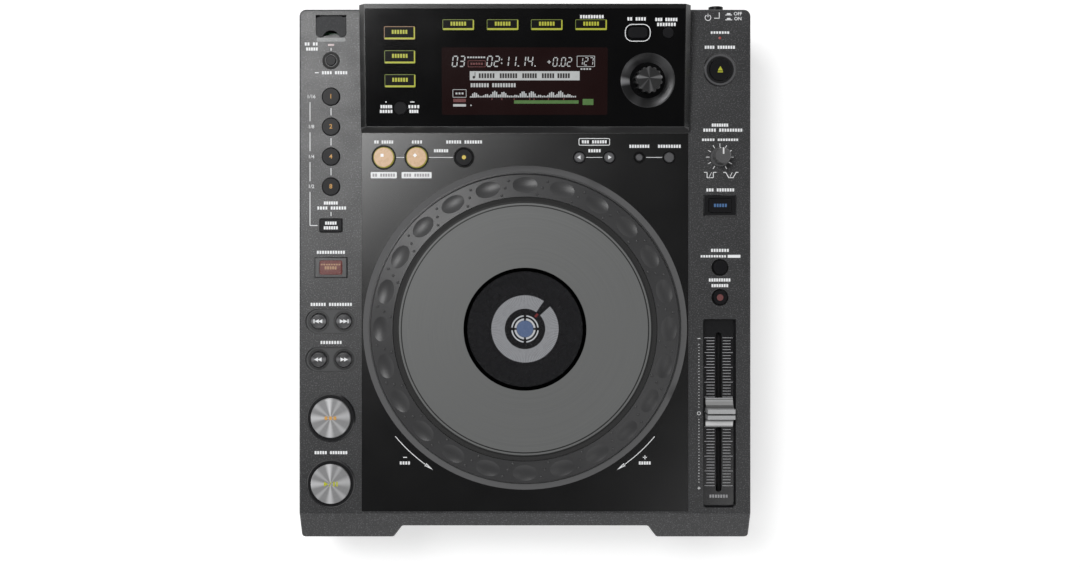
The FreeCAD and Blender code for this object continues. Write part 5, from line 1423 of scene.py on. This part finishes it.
@dataclass
class JogWheel:
    """Jog wheel with its raised dots, and the round display in its middle.

    Attributes:
        dimples: number of dimples.
        rim_outer, rim_inner: (radius, height above the deck) of the rim's sloping top.
        dots: (radius, angle from midway between two dimples) of the raised dots.
        gloss: finish of the rim and its dots.
        border_sheen_glow: dark ring round the display, whose faint glow is painted sheen.
        display_top: height of the display above the deck.
        marker: (radius, bearing) of the red marker.
    """

    dimples: int = 24
    rim_outer: tuple[float, float] = (102.3, 13.5)
    rim_inner: tuple[float, float] = (87.6, 16.5)
    dots: tuple[tuple[float, float], ...] = ((98.9, -1.2), (94.2, 0.5), (89.6, 2.4))
    gloss: Finish = Lacquer("jog_gloss", (0.029, 0.029, 0.030), 0.33, 0.1, 0.5)
    # Faint glow that paints the sheen on the dark cap; no lamp lights it.
    border_sheen_glow: Finish = Lit("cap_sheen_glow", (0.055, 0.055, 0.056), (0.004, 0.004, 0.004), 1.0)
    display_top: float = 14.5
    marker: tuple[float, float] = (11.7, 49.8)

    def raised_dots(self) -> None:
        """Three small domes between each two dimples."""
        only()
        bpy.ops.mesh.primitive_circle_add(vertices=12, radius=0.9, fill_type="NGON")
        with editing() as dome:
            for shrink, lift in ((1.0, 0.3), (0.8, 0.22), (0.5, 0.12)):
                bpy.ops.mesh.extrude_region_move(TRANSFORM_OT_translate={"value": (0, 0, lift)})
                stretch_all(shrink, shrink)
        (outer, low), (inner, high) = self.rim_outer, self.rim_inner
        domes = []
        for place in range(self.dimples):
            for reach, offset in self.dots:
                angle = radians((place + 0.5) * 360 / self.dimples + offset)
                copy = dome.copy()
                copy.data = dome.data.copy()
                rise = (outer - reach) * (high - low) / (outer - inner)
                copy.location = (reach * cos(angle), reach * sin(angle), low + rise - 0.1)
                bpy.context.scene.collection.objects.link(copy)
                domes.append(copy)
        bpy.data.objects.remove(dome)
        only(*domes)
        freeze_places()
        bpy.ops.object.join()
        with editing() as piece:
            bpy.ops.mesh.normals_make_consistent(inside=False)
        piece.data.transform(Panel.DECK.matrix(0.0))
        finish_piece("jog_dots", "jog_wheel", self.gloss)

    def display(self) -> None:
        """Position ring, marker and broken rings of the round display."""
        top = self.display_top
        ring_lamp = Lit("ring_lamp", (0.58, 0.59, 0.59), strength=2.7, rays=120)
        with Stencil("jog_position_ring", ring_lamp, height=top) as grey:
            grey.ring(0, 0, 13.4, 22.3, 56.3, 345.7, 360)
        reach, bearing = self.marker
        with Stencil("jog_marker", Lit("marker_lamp", (0.26, 0.05, 0.05), strength=3.0), height=top) as marker:
            marker.bar(reach * cos(radians(bearing)), reach * sin(radians(bearing)), 2.8, 1.6, bearing)
        with Stencil("jog_broken_rings", Lit("ring_white", (0.7, 0.72, 0.72), strength=3.6), height=top) as white:
            for inner, outer in ((8.2, 9.1), (5.7, 7.0)):
                for quarter in range(4):
                    white.ring(0, 0, inner, outer, 90 * quarter + 6, 78, 180)
        with Stencil("jog_blue_disc", Lit("disc_blue", (0.14, 0.20, 0.34), strength=3.6), height=top) as blue:
            blue.disc(0, 0, 5.5, 48)

    def build(self) -> None:
        """Dresses the wheel and adds its dots and display."""
        dress_nodes("jog_ring", self.gloss)
        # The black rings near the platter's edge are painted shade of the groove between the platter and the rim.
        dress_nodes("jog_plate", Spun("platter_satin", (0.118, 0.121, 0.120), roughness=0.45, metallic=0.15,
                                      pitch=1.1, depth=0.004, shading_bands=((81.2, 82.0), (83.2, 90.0))))
        dress_nodes("jog_window", SmokedClear("smoked_window", (0.20, 0.20, 0.21)))
        # The display's face and the ring over the window get the same painted sheen.
        dress_nodes("jog_display", self.border_sheen_glow)
        with Stencil("jog_window_border", self.border_sheen_glow, "jog_top", 16.6, slot="dark_window") as mask:
            mask.ring(0, 0, 24.0, 40.2, parts=96)
        self.raised_dots()
        self.display()


@dataclass
class Hood:
    """Gloss hood with its keys, the selector in its dish and the screen.

    Attributes:
        selector: place of the selector.
        source_keys: place across and rows of the source keys.
        menu_keys: places across and row of the menu keys.
        back_key: place of the back key.
        labels: rows of dashes in place of the labels.
        screen: middle of the screen's window.
        digit_row: row of the screen's figures.
        title_row: row of the pale bar with the title.
        wave_row: row that the wave of the sound stands on.
        bar_row: row of the green bar.
    """

    selector: tuple[float, float] = (81.7, 165.2)
    source_keys: tuple[float, tuple[float, ...]] = (-83.0, (196.0, 180.4, 164.8))
    menu_keys: tuple[tuple[float, ...], float] = ((-44.1, -14.8, 14.4, 43.7), 201.3)
    back_key: tuple[float, float] = (74.7, 196.2)
    labels: tuple[Label, ...] = (
        (67.5, 80.2, 205.2, 2), (86.0, 101.0, 204.8, 3), (87.2, 100.0, 201.6, 0), (36.2, 52.2, 206.6, 0),
        (-96.5, -88.4, 147.9, 0), (-97.0, -88.2, 144.8, 0), (-78.0, -70.2, 147.9, 0), (-77.2, -71.0, 144.8, 0))
    screen: tuple[float, float] = (-0.2, 164.6)
    digit_row: float = 177.6
    title_row: float = 168.2
    wave_row: float = 154.0
    bar_row: float = 151.0

    def on_hood(self, name: str, finish: Finish, height: float = 0.0, thickness: float = 0.1, body: str = "case",
                slot: str = "") -> Stencil:
        """Starts a stencil on the hood's sloping face."""
        return Stencil(name, finish, body, height, Panel.HOOD, thickness, slot)

    def key_rims(self) -> None:
        """Lit edges of the keys, the dashes in place of their words, and the hood's own print."""
        x, rows = self.source_keys
        places, menu_row = self.menu_keys
        keys = [(f"source_button_{i + 1}", x, row, 20.5, 8.6) for i, row in enumerate(rows)]
        keys += [(f"menu_button_{i + 1}", place, menu_row, 20.9, 7.0) for i, place in enumerate(places)]
        amber, lime = Lit("amber_edge", (0.42, 0.24, 0.12)), Lit("lime_edge", (0.20, 0.26, 0.03))
        for name, across, row, width, depth in keys:
            with self.on_hood(f"{name}_edge", amber if name == "source_button_1" else lime, 0.95, body=name) as edge:
                edge.bar(across, row, width, depth, corner=0.7, band=0.4)
            with self.on_hood(f"{name}_glow", LIME_LAMP, 1.0, body=name) as glow:
                glow.bar(across, row - depth / 2 + 0.75, width - 0.8, 1.1, corner=0.3)
                glow.bar(across + width / 2 - 0.5, row, 0.8, depth - 1.0)
                glow.dashes(across - 5.4, across + 5.4, row + 0.7, 2.6)
        with self.on_hood("back_key_outline", WHITE_INK) as ink:
            ink.bar(*self.back_key, 17.0, 11.5, corner=4.8, band=0.5)
            ink.labels(self.labels)
            ink.bar(-75.0, 151.0, 2.8, 0.6)
            ink.bar(-92.6, 151.0, 0.8, 0.8)

    def screen_light(self) -> None:
        """White marks of the screen: figures, title bar, wave and frames."""
        with self.on_hood("screen_light", WHITE_LAMP, 0.05, 0.03) as light:
            light.digits("03", -48.0, self.digit_row, 6.6)
            light.digits("02:11.14.", -25.0, self.digit_row, 6.6)
            light.digits("+0.02", 15.0, self.digit_row - 0.4, 5.6)
            light.digits("127", 36.0, self.digit_row, 4.8)
            light.bar(40.4, self.digit_row, 12.0, 7.3, corner=0.5, band=0.35)
            light.dashes(-38.6, -26.2, self.digit_row + 2.6, 1.0)
            light.dashes(36.6, 44.2, self.digit_row - 5.0, 1.0)
            light.bar(self.screen[0], self.title_row, 73.0, 6.0)
            light.dashes(-36.4, -6.0, self.title_row - 6.2, 2.6, 7)
            light.bar(-34.8, self.wave_row + 0.2, 4.0, 0.5)
            for step in range(58):
                tall = round(0.8 + 3.6 * abs(sin(step * 0.61) * cos(step * 0.19 + 0.4)), 1)
                light.bar(-36.0 + step * 1.22, self.wave_row + tall / 2, 0.9, tall)
            light.bar(-43.6, self.wave_row + 2.6, 9.2, 5.4, corner=0.5, band=0.35)
            light.dashes(-46.6, -40.6, self.wave_row + 2.6, 1.2)
            light.bar(-43.6, self.bar_row - 2.2, 8.6, 1.6, corner=0.3)
            light.disc(-36.0, self.bar_row - 2.2, 0.5, 12)

    def screen_marks(self) -> None:
        """Window of the screen with all its marks."""
        glass = Lacquer("screen_glass", (0.009, 0.003, 0.003), shine=0.35)
        with self.on_hood("screen_window", glass, thickness=0.05, slot="dark_window") as window:
            window.bar(*self.screen, 110.2, 44.4, corner=1.0)
        self.screen_light()
        black = Ink("screen_black", (0.01, 0.005, 0.005))
        with self.on_hood("screen_dark_marks", black, 0.08, 0.02, slot="dark_window") as dark:
            for left, right, gap in ((-31.0, -20.0, 0), (-17.0, -5.0, 0), (-2.0, 8.0, 0), (11.0, 30.0, 5)):
                dark.dashes(left, right, self.title_row, 3.2, gap)
            dark.disc(-34.0, self.title_row - 1.0, 0.9, 16)
            dark.bar(-33.2, self.title_row + 0.6, 0.45, 3.6)
        with self.on_hood("screen_green", GREEN_LAMP, 0.05, 0.03) as green:
            green.bar(14.2, self.bar_row, 43.0, 2.2)
            green.bar(42.0, self.bar_row, 7.2, 4.0)
        with self.on_hood("screen_red", Lit("screen_red_lamp", (0.16, 0.03, 0.03)), 0.05, 0.03) as red:
            red.bar(-32.1, self.digit_row - 1.6, 11.8, 4.4, corner=0.5, band=0.35)
            red.dashes(-36.4, -27.8, self.digit_row - 1.6, 1.4)
            red.bar(-43.6, self.bar_row + 1.0, 8.4, 2.2, corner=0.3)
            for x in (-22.0, -15.4, -7.2, 3.2, 6.0, 15.6, 25.8):
                red.bar(x, self.bar_row + 1.9, 0.6, 1.2)

    def dish(self) -> None:
        """Turned ring that lines the selector's dish, with painted highlights on it."""
        # The liner's wedges are painted highlights, strongest at the left.
        liner = Spun("dish_spun", (0.030, 0.030, 0.031), *self.selector, 0.3, 0.55, 0.8, 0.01,
                     ((182, 13, 14.0), (150, 30, 3.2), (45, 40, 3.6), (-60, 26, 3.0), (-120, 20, 2.4)))
        Turning("selector_dish_liner", liner, *self.selector,
                [(18.05, 0.41), (17.9, 0.5), (17.1, 0.5), (11.86, -2.05), (11.86, -2.15), (17.1, 0.42)],
                Panel.HOOD, "jog_black", parts=96).build()

    def build(self) -> None:
        """Dresses the hood and adds its lit pieces."""
        dress_nodes("display_panel", Lacquer("gloss_hood", (0.002, 0.002, 0.0022), 0.1, 0.08, 0.3))
        # Painted highlights on the selector knob, wedges round its axis.
        highlight_fans = ((175, 16, 7.0), (100, 14, 3.6), (5, 16, 6.0), (-80, 14, 4.0), (-130, 10, 3.0))
        dress_nodes("selector_knob", Spun("selector_spun", (0.035, 0.035, 0.036), *self.selector, 0.3, 0.5, 0.8,
                                          0.01, highlight_fans))
        dress_nodes("selector_shaft", PLATED_STEEL)
        key = Lacquer("key_face", (0.003, 0.003, 0.003), 0.25, 0.1, 0.12)
        dress_nodes("source_button_1 source_button_2 source_button_3 menu_button_1 menu_button_2 menu_button_3 "
                    "menu_button_4", key)
        dress_nodes("time_mode_button back_button tag_button", BUTTON_BLACK)
        self.key_rims()
        self.screen_marks()
        self.dish()


def main() -> None:
    """Builds the studio and every sub-assembly."""
    logging.basicConfig(level=logging.INFO, format="%(name)s: %(message)s")
    for part in (Studio(), CaseWork(), LeftWing(), RightWing(), Deck(), JogWheel(), Hood()):
        part.build()


if __name__ == "__main__":
    main()
